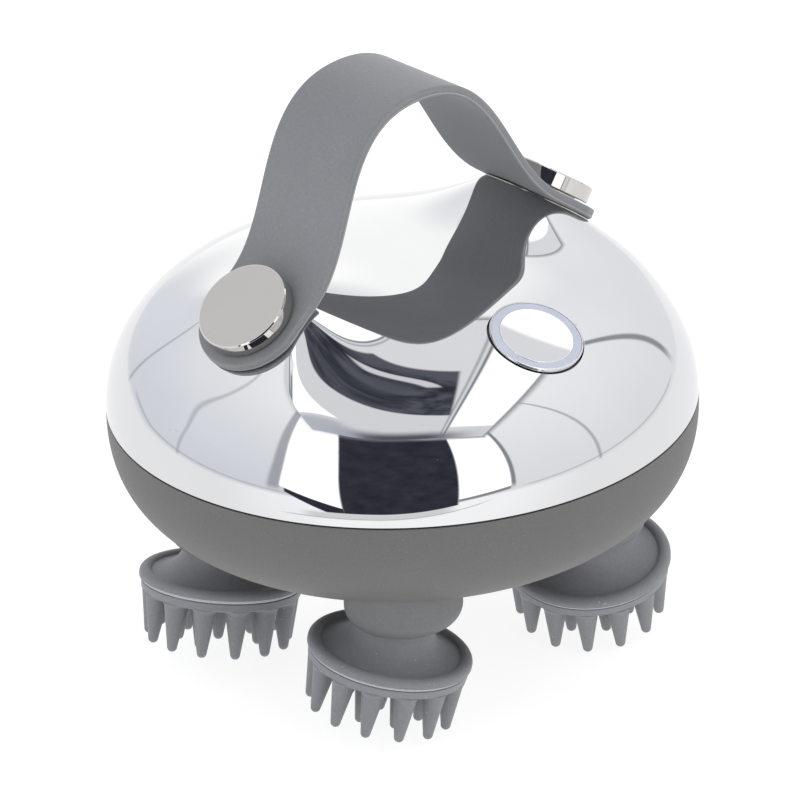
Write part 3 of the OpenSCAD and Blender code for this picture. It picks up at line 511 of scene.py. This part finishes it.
def blank_finish(name, colour):
    """A material whose nodes are still to be set, and the tree to set them in."""
    made = bpy.data.materials.new(name)
    made.diffuse_color = colour
    return made, Nodes(made)


def chromed(name, colour, rough):
    """Bright plating: a mirror with a trace of haze and a few specks of dust."""
    made, f = blank_finish(name, colour)
    here = f.node("ShaderNodeTexCoord", out="Object")
    haze = f.node("ShaderNodeTexNoise", {}, {"Vector": here, "Scale": 60.0, "Detail": 4.0})
    dust = f.node("ShaderNodeTexVoronoi", {}, {"Vector": here, "Scale": 420.0, "Randomness": 1.0})
    patch = f.node("ShaderNodeTexNoise", {}, {"Vector": here, "Scale": 35.0, "Detail": 2.0})
    speck = (0.05 - dust).over(0.0, 0.03) * patch.over(0.55, 0.68)
    tone = f.mix(haze.over(0.35, 0.7) * 0.5, colour, tuple(c * 0.97 for c in colour[:3]) + (1,))
    tone = f.mix(speck * 0.35, tone, (0.7, 0.7, 0.7, 1))
    shine = f.node("ShaderNodeBsdfPrincipled", {}, {
        "Base Color": tone, "Metallic": 1.0 - speck * 0.5,
        "Roughness": rough + haze * 0.012 + speck * 0.25})
    f.node("ShaderNodeOutputMaterial", {}, {"Surface": shine})
    return made


dome_chrome = chromed("dome_chrome", (0.72, 0.724, 0.732, 1), 0.012)
seat_edge = chromed("seat_edge", (0.55, 0.52, 0.47, 1), 0.22)
# the face stops just above the seam, where the eased edge takes over
above = dome_zz > dome_z + 0.16
dome_holes = [(seat(side), 0.0, hill_reach) for side in (-1, 1)] + [(button_at, 0.0, button_hole)]
dome_sheets = [pierced(dome_rr[above], dome_zz[above], dome_field, 400, dome_holes)]
seat_edge_outline = [(seat_r, -3, 0), (seat_r, 0, 0.3), (0, 0, 0)]
for side in (-1, 1):
    dome_sheets += [seat_hill(side), turned(seat_edge_outline, 200, 1, seat(side))]
round_turn = np.linspace(0, 2 * pi, 160, endpoint=False)


def oblong(half, radius):
    """The outline of a long hole with round ends, or of a round hole when half is 0."""
    out = np.cos(round_turn)
    return np.stack([out * radius + half * np.sign(out), np.sin(round_turn) * radius], -1)


def hole_lip(field, place, half, radius, ease, inwards):
    """Rows of points over a hole's eased lip, from the shell's face into the hole."""
    rows = [onto(field, place, oblong(half, radius))]
    for a in np.radians(np.linspace(15, 90, 6)):
        rows.append(onto(field, place, oblong(half, radius - ease * sin(a)))
                    + place[1][2] * inwards * ease * (1 - cos(a)))
    return rows


def hole_sheet(field, place, rows):
    """A hole's lip and wall: its normals face the hole and start as the shell's own."""
    rows = np.array(rows)
    n = grid_normals(rows)
    if (n[-1] * (place[0] - rows[-1])).sum() < 0:
        n = -n
    n[0] = unit(field(rows[0])[1])
    return rows, n, 0, None


lip = hole_lip(dome_field, button_at, 0, button_hole, hole_ease, -1)
lip.append(lip[-1] - button_at[1][2] * button_hole_deep)
dome_sheets.append(hole_sheet(dome_field, button_at, lip))
edge_r, edge_z = dome_rr[above][-1], dome_zz[above][-1]
dome_sheets.append(turned([(dome_r - wall, dome_z + 1.5, 0), (dome_r - wall, dome_z, 0.1),
                           (dome_r, dome_z, edge_ease), (edge_r, edge_z, 0)], 400))
inner_rr, inner_zz, inner_field = bowl(dome_r - wall, dome_h - wall, dome_z, dome_a, dome_b, 1, crown)
dome_sheets.append(pierced(inner_rr[::4], inner_zz[::4], inner_field, 120,
                           [(button_at, 0.0, button_hole_inside)], -1))
piece("dome", dome_sheets, [dome_chrome, seat_edge], "case", ["top_shell"])

# ---- Lower shell ----
# The matching base, moulded in grey ABS with a soft-touch coat. Four holes let the
# necks through, four deep recesses hide the case screws, and a pocket at the back
# takes the charging port's plug.
base_h, base_z, base_a, base_b = 31.5, 61.355, 3.69, 0.401
head_orbit, neck_r, neck_z = 29.075, 12.6, 31
screw_x, screw_y, screw_z, recess_r, recess_ease, screw_r = 16.5, 48, 32, 3.3, 0.2, 1.7
recess_floor = base_z - 9.8
port_y, port_z, port_half, port_r = 62, 50.555, 3.75, 4.2
pocket_back, mouth_back, mouth_half, mouth_r = 65.1, 63.2, 3, 2.5


def soft(name, colour, rough=0.62, speck=0.5, grain=1500.0, height=0.00002, sheen=0.0):
    """Silicone or a soft-touch coat: a fine grain, cloudy tone, light flecks and a little sheen."""
    made, f = blank_finish(name, colour)
    here = f.node("ShaderNodeTexCoord", out="Object")
    fine = f.node("ShaderNodeTexNoise", {}, {"Vector": here, "Scale": grain, "Detail": 3.0, "Roughness": 0.6})
    cloud = f.node("ShaderNodeTexNoise", {}, {"Vector": here, "Scale": 28.0, "Detail": 3.0})
    dot = f.node("ShaderNodeTexVoronoi", {}, {"Vector": here, "Scale": 700.0, "Randomness": 1.0})
    patch = f.node("ShaderNodeTexNoise", {}, {"Vector": here, "Scale": 90.0, "Detail": 2.0})
    fleck = (0.13 - dot).over(0.0, 0.05) * patch.over(0.52, 0.6) * speck
    dark = tuple(c * 0.90 for c in colour[:3]) + (1,)
    light = tuple(c * 1.08 for c in colour[:3]) + (1,)
    tone = f.mix(cloud.over(0.3, 0.7) * 0.45 + fine.over(0.3, 0.7) * 0.55, dark, light)
    tone = f.mix(fleck, tone, tuple(min(1, c * 2.2) for c in colour[:3]) + (1,))
    bump = f.node("ShaderNodeBump", {}, {"Strength": 0.35, "Distance": height, "Height": fine})
    coat = f.node("ShaderNodeBsdfPrincipled", {}, {
        "Base Color": tone, "Roughness": rough - 0.06 + cloud * 0.12, "Normal": bump,
        "Sheen Weight": sheen, "Sheen Roughness": 0.5, "Specular IOR Level": 0.4})
    f.node("ShaderNodeOutputMaterial", {}, {"Surface": coat})
    return made


base_coat = soft("base_coat", ink(110, 109, 108), 0.6, 0.35, 1800.0)
base_rr, base_zz, base_field = bowl(dome_r, base_h, base_z, base_a, base_b, -1)
four_corners = [(sx, sy) for sx in (-1, 1) for sy in (-1, 1)]


def upright(x, y, z):
    """A frame whose axis is upright."""
    return axes((x, y, z), (1, 0, 0), (0, 0, 1))


neck_holes = [(upright(sx * head_orbit, sy * head_orbit, neck_z), 0.0, neck_r) for sx, sy in four_corners]
recesses = [(upright(sx * screw_x, sy * screw_y, screw_z), 0.0, recess_r) for sx, sy in four_corners]
port_at = axes((0, port_y, port_z), (1, 0, 0), (0, 1, 0))
below = base_zz < base_z - 0.16
base_sheets = [pierced(base_rr[below], base_zz[below], base_field, 400,
                       neck_holes + recesses + [(port_at, port_half, port_r)])]
ring = oblong(0, 1)
for place, _, _ in neck_holes:
    at = onto(base_field, place, ring * neck_r)
    base_sheets.append((np.array([at, at + [0, 0, wall]]), np.array([-(ring @ place[1][:2])] * 2), 0, None))
for place, _, _ in recesses:
    rows = hole_lip(base_field, place, 0, recess_r, recess_ease, 1)
    top, bore = rows[-1].copy(), in_plane(place, ring * screw_r)
    top[:, 2] = bore[:, 2] = recess_floor
    base_sheets.append(hole_sheet(base_field, place, rows + [top]))
    base_sheets.append((np.array([top, bore]), np.broadcast_to([0, 0, -1.0], (2, 160, 3)), 0, None))
# the port's pocket, its back wall and the mouth in it
rows = hole_lip(base_field, port_at, port_half, port_r, hole_ease, -1)
back, mouth = rows[-1].copy(), in_plane(port_at, oblong(mouth_half, mouth_r))
back[:, 1] = mouth[:, 1] = pocket_back
inner_mouth = mouth.copy()
inner_mouth[:, 1] = mouth_back
to_middle = unit(np.array([0, pocket_back, port_z]) - mouth)
base_sheets += [hole_sheet(base_field, port_at, rows + [back]),
                (np.array([back, mouth]), np.broadcast_to([0, 1.0, 0], (2, 160, 3)), 0, None),
                (np.array([mouth, inner_mouth]), np.array([to_middle] * 2), 0, None)]
edge_r, edge_z = base_rr[below][-1], base_zz[below][-1]
base_sheets.append(turned([(edge_r, edge_z, 0), (dome_r, base_z, edge_ease), (dome_r - wall, base_z, 0.1),
                           (dome_r - wall, base_z - 1.5, 0)], 400))
in_rr, in_zz, in_field = bowl(dome_r - wall, base_h - wall, base_z, base_a, base_b, -1)
base_sheets.append(pierced(in_rr[::4], in_zz[::4], in_field, 120,
                           neck_holes + [(port_at, port_half, 6.0)], -1))
piece("base_shell", base_sheets, [base_coat], "case", ["bottom_shell"])

# ---- Seam seal ----
# A thin dark silicone ring pinched between the two shells keeps water out and
# shows as a fine line all round.
seal_black = soft("seal_black", ink(38, 38, 40), 0.5, 0.2, 2000.0)


def dress(finish, *names):
    """Gives CAD nodes their finish."""
    for name in names:
        slots = nodes[name].material_slots
        if not slots:
            nodes[name].data.materials.append(finish)
        for slot in nodes[name].material_slots:
            slot.material = finish


dress(seal_black, "shell_seal", "shaft_seals", "button_seal")

# ---- Hand strap ----
# A band of grey silicone, moulded flat with rounded ends and a parting line round
# its edge, bent up over the dome and held at each end by a cap.
strap_half, half_thick, end_arc, end_ease, flat_run = 13.25, 1.2, 13.6, 0.35, 8.5
crest = np.array([-4.4, 0, 141.955])
pull_left, pull_right, pull_crest = 17, 21.4, 25.2
edge_round, edge_fine, ridge_col, flat_points = 0.5, 8, 12, 19
strap_grey = soft("strap_grey", ink(136, 138, 141), 0.55, 0.25, 1500.0, sheen=0.16)
# the lighter grey here is a painted highlight along the strap's parting ridge
strap_line = soft("strap_line", ink(178, 179, 180), 0.5, 0.1, 1500.0)


def strap_side(side):
    """One half of the band from tip to crest: each row is its middle, its direction towards
    the tip, the end arc's shift and angle, where it has them, and the way up."""
    place = seat(side)
    middle, out, upwards = place[0] + half_thick * place[1][2], place[1][0], place[1][2]
    start = middle - flat_run * out
    h1 = start - (pull_right if side > 0 else pull_left) * out
    h2 = crest + np.array([side * pull_crest, 0, 0])
    rows = [(middle, out, -end_ease, theta, upwards) for theta in np.linspace(pi / 2, 0, 25)]
    rows += [(middle + out * q, out, 0.0, None, upwards) for q in np.linspace(-end_ease, -flat_run, 6)[1:]]
    for t in np.linspace(0, 1, 90)[1:]:
        c = (1 - t) ** 3 * start + 3 * t * (1 - t) ** 2 * h1 + 3 * t * t * (1 - t) * h2 + t ** 3 * crest
        d = unit(3 * (1 - t) ** 2 * (h1 - start) + 6 * t * (1 - t) * (h2 - h1) + 3 * t * t * (crest - h2))
        rows.append((c, -d, 0.0, None, np.array([-d[2], 0, d[0]]) * -side))
    return rows


# one edge of the band from top to bottom, with a groove and a parting ridge: how far in
# from its outline, the height over its middle and the slope of its normal
strap_edge = [(edge_round * (1 - sin(a)), half_thick - edge_round * (1 - cos(a)), pi / 2 - a)
              for a in np.linspace(0, pi / 2, edge_fine)]
strap_edge += ([(0.0, -0.2, 0.0), (0.12, -0.24, 0.0), (0.12, -0.34, 0.0), (0.0, -0.38, 0.0),
                (-0.05, -0.42, 0.0), (-0.05, -0.62, 0.0), (0.0, -0.7, 0.0)]
               + [(inset, -level, -slope) for inset, level, slope in strap_edge[::-1]])


def strap_ring(c, out, shift, theta, upwards):
    """Points and normals once round the band, at one of its rows."""
    line, line_n = [], []

    def add(inset, sign, level, slope, share=1):
        q, w, flat_n = 0.0, strap_half - inset, (0.0, sign)
        if theta is not None:
            arc_w = (end_arc - inset) * cos(theta)
            q = shift + (end_arc - inset) * sin(theta)
            if arc_w <= w:
                w, flat_n = arc_w, (sin(theta), sign * cos(theta))
        line.append(c + out * q + np.array([0, sign * w * share, 0]) + upwards * level)
        line_n.append((out * flat_n[0] + np.array([0, flat_n[1], 0])) * cos(slope) + upwards * sin(slope))

    over = np.linspace(-1, 1, flat_points + 2)[1:-1]
    for share in over:
        add(edge_round, 1, half_thick, pi / 2, share)
    for inset, level, slope in strap_edge:
        add(inset, 1, level, slope)
    for share in over[::-1]:
        add(edge_round, 1, -half_thick, -pi / 2, share)
    for inset, level, slope in strap_edge[::-1]:
        add(inset, -1, level, slope)
    return line, line_n


strap_rows = strap_side(-1) + strap_side(1)[:-1][::-1]
grid, normal = (np.array(part) for part in zip(*[strap_ring(*row) for row in strap_rows]))
strap_piece = piece("hand_strap", [(grid, normal, 0, None)], [strap_grey, strap_line], "case",
                    ["strap"])
cols = grid.shape[1]
# the faces on the parting ridge take that painted highlight
for i, face in enumerate(strap_piece.data.polygons):
    if i % cols in (flat_points + ridge_col, cols - 2 - ridge_col):
        face.material_index = 1

# ---- Strap caps ----
# Two turned caps of nickel-plated steel: a face brushed in straight lines, a bright
# bevel and a polished side. Each has a stud through the strap to a nut in the dome.


def brushed(name, colour, along, face):
    """Straight-brushed nickel: long fine scratches that run one way."""
    made, f = blank_finish(name, colour)
    here = f.node("ShaderNodeTexCoord", out="Object")
    cross = np.cross(face, along)
    lines = f.node("ShaderNodeCombineXYZ", {}, {0: here.dot(tuple(along)) * 60.0,
                                                1: here.dot(tuple(cross)) * 5200.0, 2: 0.0})
    hair = f.node("ShaderNodeTexNoise", {}, {"Vector": lines, "Scale": 1.0, "Detail": 5.0, "Roughness": 0.7})
    cloud = f.node("ShaderNodeTexNoise", {}, {"Vector": here, "Scale": 150.0, "Detail": 2.0})
    tone = f.mix(hair.over(0.25, 0.75), tuple(c * 0.95 for c in colour[:3]) + (1,), colour)
    bump = f.node("ShaderNodeBump", {}, {"Strength": 0.35, "Distance": 0.000012, "Height": hair})
    shine = f.node("ShaderNodeBsdfPrincipled", {}, {
        "Base Color": tone, "Metallic": 1.0, "Roughness": 0.34 + hair * 0.14 + cloud * 0.05, "Normal": bump})
    f.node("ShaderNodeOutputMaterial", {}, {"Surface": shine})
    return made


cap_polish = chromed("cap_polish", (0.62, 0.60, 0.575, 1), 0.03)
cap_r, cap_face_r, cap_low, cap_top, bevel, brush_slant = 11.07, 10.65, 2.9, 6.7, 0.28, 0.41
boss_r, boss_low = 8.07, 1.2
cap_outline = [(7.4, boss_low, 0), (boss_r, boss_low, 0.1), (boss_r, cap_low, 0.1), (cap_r, cap_low, 0.25),
               (cap_r, cap_top - bevel, 0.12), (cap_r - bevel, cap_top, 0.1), (cap_face_r, cap_top, 0)]
cap_face_outline = [(cap_face_r, cap_top, 0), (5, cap_top, 0), (0, cap_top, 0)]
for side, word in ((-1, "left"), (1, "right")):
    place = seat(side)
    scratched = unit(place[1][1] - brush_slant * place[1][0])
    cap_face = brushed("cap_face_" + word, (0.57, 0.554, 0.53, 1), scratched, place[1][2])
    piece("cap_" + word, [turned(cap_outline, 160, 0, place), turned(cap_face_outline, 160, 1, place)],
          [cap_polish, cap_face], "case", ["strap_cap_" + word])

# ---- Button ----
# One assembly floats in the dome's hole: a chromed ring outside, a frosted light
# ring, and a mirror-polished disc that the finger presses.


def frosted(name, colour):
    """Clear plastic filled white, with a faint bluish painted glow that makes it look more brightly lit."""
    made, f = blank_finish(name, colour)
    here = f.node("ShaderNodeTexCoord", out="Object")
    fine = f.node("ShaderNodeTexNoise", {}, {"Vector": here, "Scale": 2600.0, "Detail": 2.0})
    cloud = f.node("ShaderNodeTexNoise", {}, {"Vector": here, "Scale": 220.0, "Detail": 2.0})
    tone = f.mix(cloud.over(0.3, 0.7) * 0.6 + fine * 0.3, tuple(c * 0.88 for c in colour[:3]) + (1,), colour)
    bump = f.node("ShaderNodeBump", {}, {"Strength": 0.3, "Distance": 0.00002, "Height": fine})
    # the emission is painted light that brightens the ring
    body = f.node("ShaderNodeBsdfPrincipled", {}, {
        "Base Color": tone, "Roughness": 0.38 + fine * 0.15, "Normal": bump, "Coat Weight": 0.15,
        "Emission Color": (0.72, 0.80, 1.0, 1), "Emission Strength": 0.07})
    f.node("ShaderNodeOutputMaterial", {}, {"Surface": body})
    return made


button_bright = chromed("button_bright", (0.72, 0.724, 0.732, 1), 0.015)
button_frost = frosted("button_frost", ink(208, 212, 227))
bezel_r, guide_r, disc_r, dish_r, dish_deep = 10.9, 10.5, 8.6, 8.42, 0.22
guide_foot_r, foot_low, foot_top, bezel_low = 12.6, -7.9, -6.9, -2.2
bezel_outline = [(guide_r, bezel_low, 0), (bezel_r, bezel_low, 0.1), (bezel_r, 0, 0.28),
                 (guide_r + 0.05, 0, 0.04), (guide_r, -0.5, 0)]
piece("button_ring", [turned(bezel_outline, 200, 0, button_at)],
      [button_bright], "power_button", ["button_bezel"])
hollow_r = np.linspace(dish_r, 0, 30)
hollow = np.stack([hollow_r, -dish_deep * (1 - (hollow_r / dish_r) ** 2)], -1)
hollow_n = unit(np.stack([-2 * dish_deep * hollow_r / dish_r ** 2, np.ones(30)], -1))
piece("button_disc_face", [turned([(disc_r, -1.2, 0), (disc_r, 0, 0.14), (dish_r, 0, 0)], 200, 0, button_at),
                           turned((hollow, hollow_n), 200, 0, button_at)],
      [button_bright], "power_button", ["button_disc"])
light_outline = [(guide_r, -0.5, 0), (guide_r - 0.03, -0.1, 0.02), (disc_r + 0.02, -0.1, 0.02),
                 (disc_r, -0.1, 0)]
foot_outline = [(0, foot_low, 0), (guide_foot_r, foot_low, 0.2), (guide_foot_r, foot_top, 0.2),
                (bezel_r, foot_top, 0.1), (bezel_r, bezel_low, 0.1), (10.0, bezel_low, 0)]
piece("button_light", [turned(light_outline, 200, 0, button_at), turned(foot_outline, 120, 0, button_at)],
      [button_frost], "power_button", ["light_guide"])

# ---- Neck collars ----
# Four turned collars of grey ABS stand in the base's holes with a rounded lower
# edge. Each hides the crank's seal and the top of its head's neck.
collar_grey = soft("collar_grey", ink(120, 121, 122), 0.58, 0.2, 1700.0)
# each head's corner and the bearing in degrees that it leans to
heads = {"front_left": (-1, -1, 145), "front_right": (1, -1, 43),
         "rear_left": (-1, 1, 199), "rear_right": (1, 1, 328)}
dress(collar_grey, *["neck_collar_" + word for word in heads])

# ---- Kneading heads ----
# Each head is one silicone moulding on a core that the tilted crank carries: a short
# neck, a dished bowl with a rolled rim, a disc below it and 21 tapered tines.
claw_grey = soft("claw_grey", ink(135, 136, 140), 0.52, 0.9, 1300.0)
claw_disc = soft("claw_disc", ink(139, 140, 145), 0.5, 0.6, 1300.0)
# a lighter grey used as painted light on each rim's shaded underside and as a painted highlight on its ridge
claw_painted_light = soft("claw_painted_light", ink(196, 197, 202), 0.45, 0.2, 1300.0)
crank_tilt, bend_z = radians(11.5), 34.955
disc_low, claw_disc_r, rim_r, rim_z, roll = -20.6, 18.3, 17.4, -17.2, 1.55
tine_root, tine_tip, tip_z, flare, root_step = 2.85, 1.15, -31.25, 0.9, 0.02


def curve(p0, p1, p2, p3, count):
    """Points on a smooth curve between two ends and the normals on its right."""
    t = np.linspace(0, 1, count)[:, None]
    p0, p1, p2, p3 = (np.array(v, float) for v in (p0, p1, p2, p3))
    p = (1 - t) ** 3 * p0 + 3 * t * (1 - t) ** 2 * p1 + 3 * t * t * (1 - t) * p2 + t ** 3 * p3
    d = unit(3 * (1 - t) ** 2 * (p1 - p0) + 6 * t * (1 - t) * (p2 - p1) + 3 * t * t * (p3 - p2))
    return p, np.stack([d[:, 1], -d[:, 0]], -1)


def claw_bowl():
    """The disc, the rolled rim with its parting ridge, the dish and the neck."""
    disc = turned([(0, disc_low, 0), (claw_disc_r, disc_low, 0.45), (18.42, -18.75, 0.12),
                   (18.15, -18.6, 0)], 160, 1)
    a = np.radians(np.linspace(-62, 150, 54))
    bulge = roll + 0.05 * np.exp(-((np.degrees(a) + 22) / 3.2) ** 2)
    lip_n = np.stack([np.cos(a), np.sin(a)], -1)
    lip_p = (rim_r, rim_z) + bulge[:, None] * lip_n
    b = np.radians(np.linspace(-26, -18, 5))
    ridge_n = np.stack([np.cos(b), np.sin(b)], -1)
    ridge_p = (rim_r, rim_z) + (roll + 0.065) * ridge_n
    # the first rows of the rim's underside take a lighter grey, painted light over the shade that falls
    # there, and the ridge takes it as a painted highlight
    painted_light_rows = 8
    return [disc, turned((lip_p[painted_light_rows - 1:], lip_n[painted_light_rows - 1:]), 160, 0),
            turned((lip_p[:painted_light_rows], lip_n[:painted_light_rows]), 160, 2), turned((ridge_p, ridge_n), 160, 2),
            turned(curve(lip_p[-1], (14.6, -16.75), (9.9, -14.6), (9.3, -11), 30), 160, 0),
            turned([(9.3, -11, 0), (9.3, -8, 0.6), (7.2, -8, 0)], 160, 0)]


def tine_outline():
    """One tine from its rounded tip to its flared root: radii, heights and normals."""
    lean = np.arctan2(tine_root - tine_tip, disc_low - tip_z)
    side_r, side_z = tine_tip * cos(lean), tip_z - tine_tip * sin(lean)
    rows = [(tine_tip * cos(a), tip_z + tine_tip * sin(a), cos(a), sin(a))
            for a in np.linspace(-pi / 2, -lean, 9)]
    for t in np.linspace(0.08, 0.86, 8):
        rows.append((side_r + (tine_root - side_r) * t, side_z + (disc_low - side_z) * t,
                     cos(lean), -sin(lean)))
    r0, z0 = rows[-1][:2]
    for t in np.linspace(0, 1, 8)[1:]:
        k = lean + (pi / 2 - lean) * t ** 1.3
        rows.append((r0 + (tine_root + flare - r0) * t ** 2.0 * 0.9 + (tine_root - r0) * t * 0.35,
                     z0 + (disc_low + root_step - z0) * (1 - (1 - t) ** 1.7), cos(k), -sin(k)))
    return np.array(rows)


def claw_tines():
    """13 splayed tines, 7 upright ones inside them and one in the middle."""
    tine = tine_outline()
    straight_p = revolve(tine[:, 0], tine[:, 1] - disc_low, 28)
    straight_n = revolve(tine[:, 2], tine[:, 3], 28)
    sheets = []
    for count, radius, first, splay in ((13, 15.4, 180, radians(3)), (7, 9.24, 0, 0), (1, 0, 0, 0)):
        splayed = np.array([[cos(splay), 0, sin(splay)], [0, 1, 0], [-sin(splay), 0, cos(splay)]])
        for i in range(count):
            a = radians(first + i * 360 / count)
            spin = np.array([[cos(a), sin(a), 0], [-sin(a), cos(a), 0], [0, 0, 1]])
            p = (straight_p @ splayed + [radius, 0, disc_low]) @ spin
            # a root flows into the disc and no further than the disc's side
            away = np.maximum(np.hypot(p[..., 0], p[..., 1]), 1e-9)
            held = np.where(p[..., 2] > disc_low - 1, np.minimum(1, (claw_disc_r - 0.02) / away), 1)
            p[..., :2] *= held[..., None]
            sheets.append((p, straight_n @ splayed @ spin, 0, None))
    return sheets


claw_parts = claw_bowl() + claw_tines()
for word, (sx, sy, leaning) in heads.items():
    a = radians(leaning)
    outwards = (cos(crank_tilt) * cos(a), cos(crank_tilt) * sin(a), sin(crank_tilt))
    up_crank = (-sin(crank_tilt) * cos(a), -sin(crank_tilt) * sin(a), cos(crank_tilt))
    place = axes((sx * head_orbit, sy * head_orbit, bend_z), outwards, up_crank)
    piece("kneader_" + word, [(put(place, p), n @ place[1], finish, None) for p, n, finish, _ in claw_parts],
          [claw_grey, claw_disc, claw_painted_light], "head_" + word, ["claw_" + word])

# ---- Charging port ----
# A moulded silicone plug with a finger lip closes the pocket at the back of the base.
# Behind it sits the charging socket, folded from plated sheet steel.
plug_grey = soft("plug_grey", ink(94, 95, 97), 0.55, 0.3, 1500.0)
dress(plug_grey, "port_plug")


def cast(name, colour, rough, metal=0.0, grain=900.0, height=0.00001):
    """A machined, drawn or moulded inner part: tone and roughness wander with its grain."""
    made, f = blank_finish(name, colour)
    here = f.node("ShaderNodeTexCoord", out="Object")
    fine = f.node("ShaderNodeTexNoise", {}, {"Vector": here, "Scale": grain, "Detail": 4.0})
    cloud = f.node("ShaderNodeTexNoise", {}, {"Vector": here, "Scale": 70.0, "Detail": 2.0})
    tone = f.mix(cloud.over(0.3, 0.7) * 0.6 + fine * 0.4, tuple(c * 0.86 for c in colour[:3]) + (1,), colour)
    bump = f.node("ShaderNodeBump", {}, {"Strength": 0.4, "Distance": height, "Height": fine})
    body = f.node("ShaderNodeBsdfPrincipled", {}, {
        "Base Color": tone, "Metallic": metal, "Roughness": rough - 0.05 + fine * 0.1, "Normal": bump})
    f.node("ShaderNodeOutputMaterial", {}, {"Surface": body})
    return made


dress(cast("socket_shell", (0.62, 0.63, 0.65, 1), 0.28, 1.0), "charging_socket")

# ---- Screws, nuts and pins ----
# Zinc-plated steel screws and nuts hold the shells, the strap, the gear plate, the
# motor's frame and the button's board. Pins, cranks and the motor's shaft are ground.
zinc = cast("zinc_steel", (0.56, 0.57, 0.60, 1), 0.32, 1.0, 1400.0)
dress(zinc, "case_screws", "strap_nuts", "plate_screws", "frame_screws", "board_screws")
ground = cast("ground_steel", (0.66, 0.67, 0.69, 1), 0.2, 1.0, 2200.0)
dress(ground, "sun_pin", "motor_shaft", *["crank_shaft_" + word for word in heads])

# ---- Bushes ----
# Plain bushes of sintered bronze, soaked in oil and pressed in. Two carry each crank
# and one carries the worm's far end.
bronze = cast("sintered_bronze", (0.55, 0.36, 0.19, 1), 0.42, 1.0, 1600.0)
dress(bronze, "upper_bushes", "lower_bushes", "worm_bush")

# ---- Gear train ----
# Moulded in natural acetal: a gear on each crank, and the sun gear in the middle that
# turns them all. A worm of turned brass on the motor's shaft drives the sun gear.
acetal = cast("acetal_white", ink(232, 229, 218), 0.42)
dress(acetal, "sun_gear", *["head_gear_" + word for word in heads])
dress(cast("brass_worm", (0.72, 0.55, 0.27, 1), 0.27, 1.0, 1800.0), "worm")

# ---- Carriers ----
# Moulded in black glass-filled nylon: the gear plate, the motor's frame, the cell's
# tray, the button's plunger, and the cores that the silicone heads are moulded over.
nylon = cast("filled_nylon", ink(52, 53, 56), 0.5, 0.0, 700.0, 0.00002)
dress(nylon, "gear_plate", "motor_frame", "battery_tray", "switch_plunger",
      *["head_core_" + word for word in heads])

# ---- Motor, cell and boards ----
# A motor in a drawn steel can, a cell in blue shrink film, and green boards with the
# button's switch and its four lights.
dress(cast("motor_can", (0.60, 0.61, 0.62, 1), 0.3, 1.0, 1000.0), "motor")
dress(cast("cell_film", ink(44, 84, 150), 0.3), "battery")
dress(cast("board_green", ink(22, 92, 58), 0.36), "control_board", "charge_board", "button_board")
dress(cast("switch_black", ink(40, 40, 42), 0.4), "tact_switch")
dress(cast("led_lens", ink(236, 240, 238), 0.2), "button_leds")
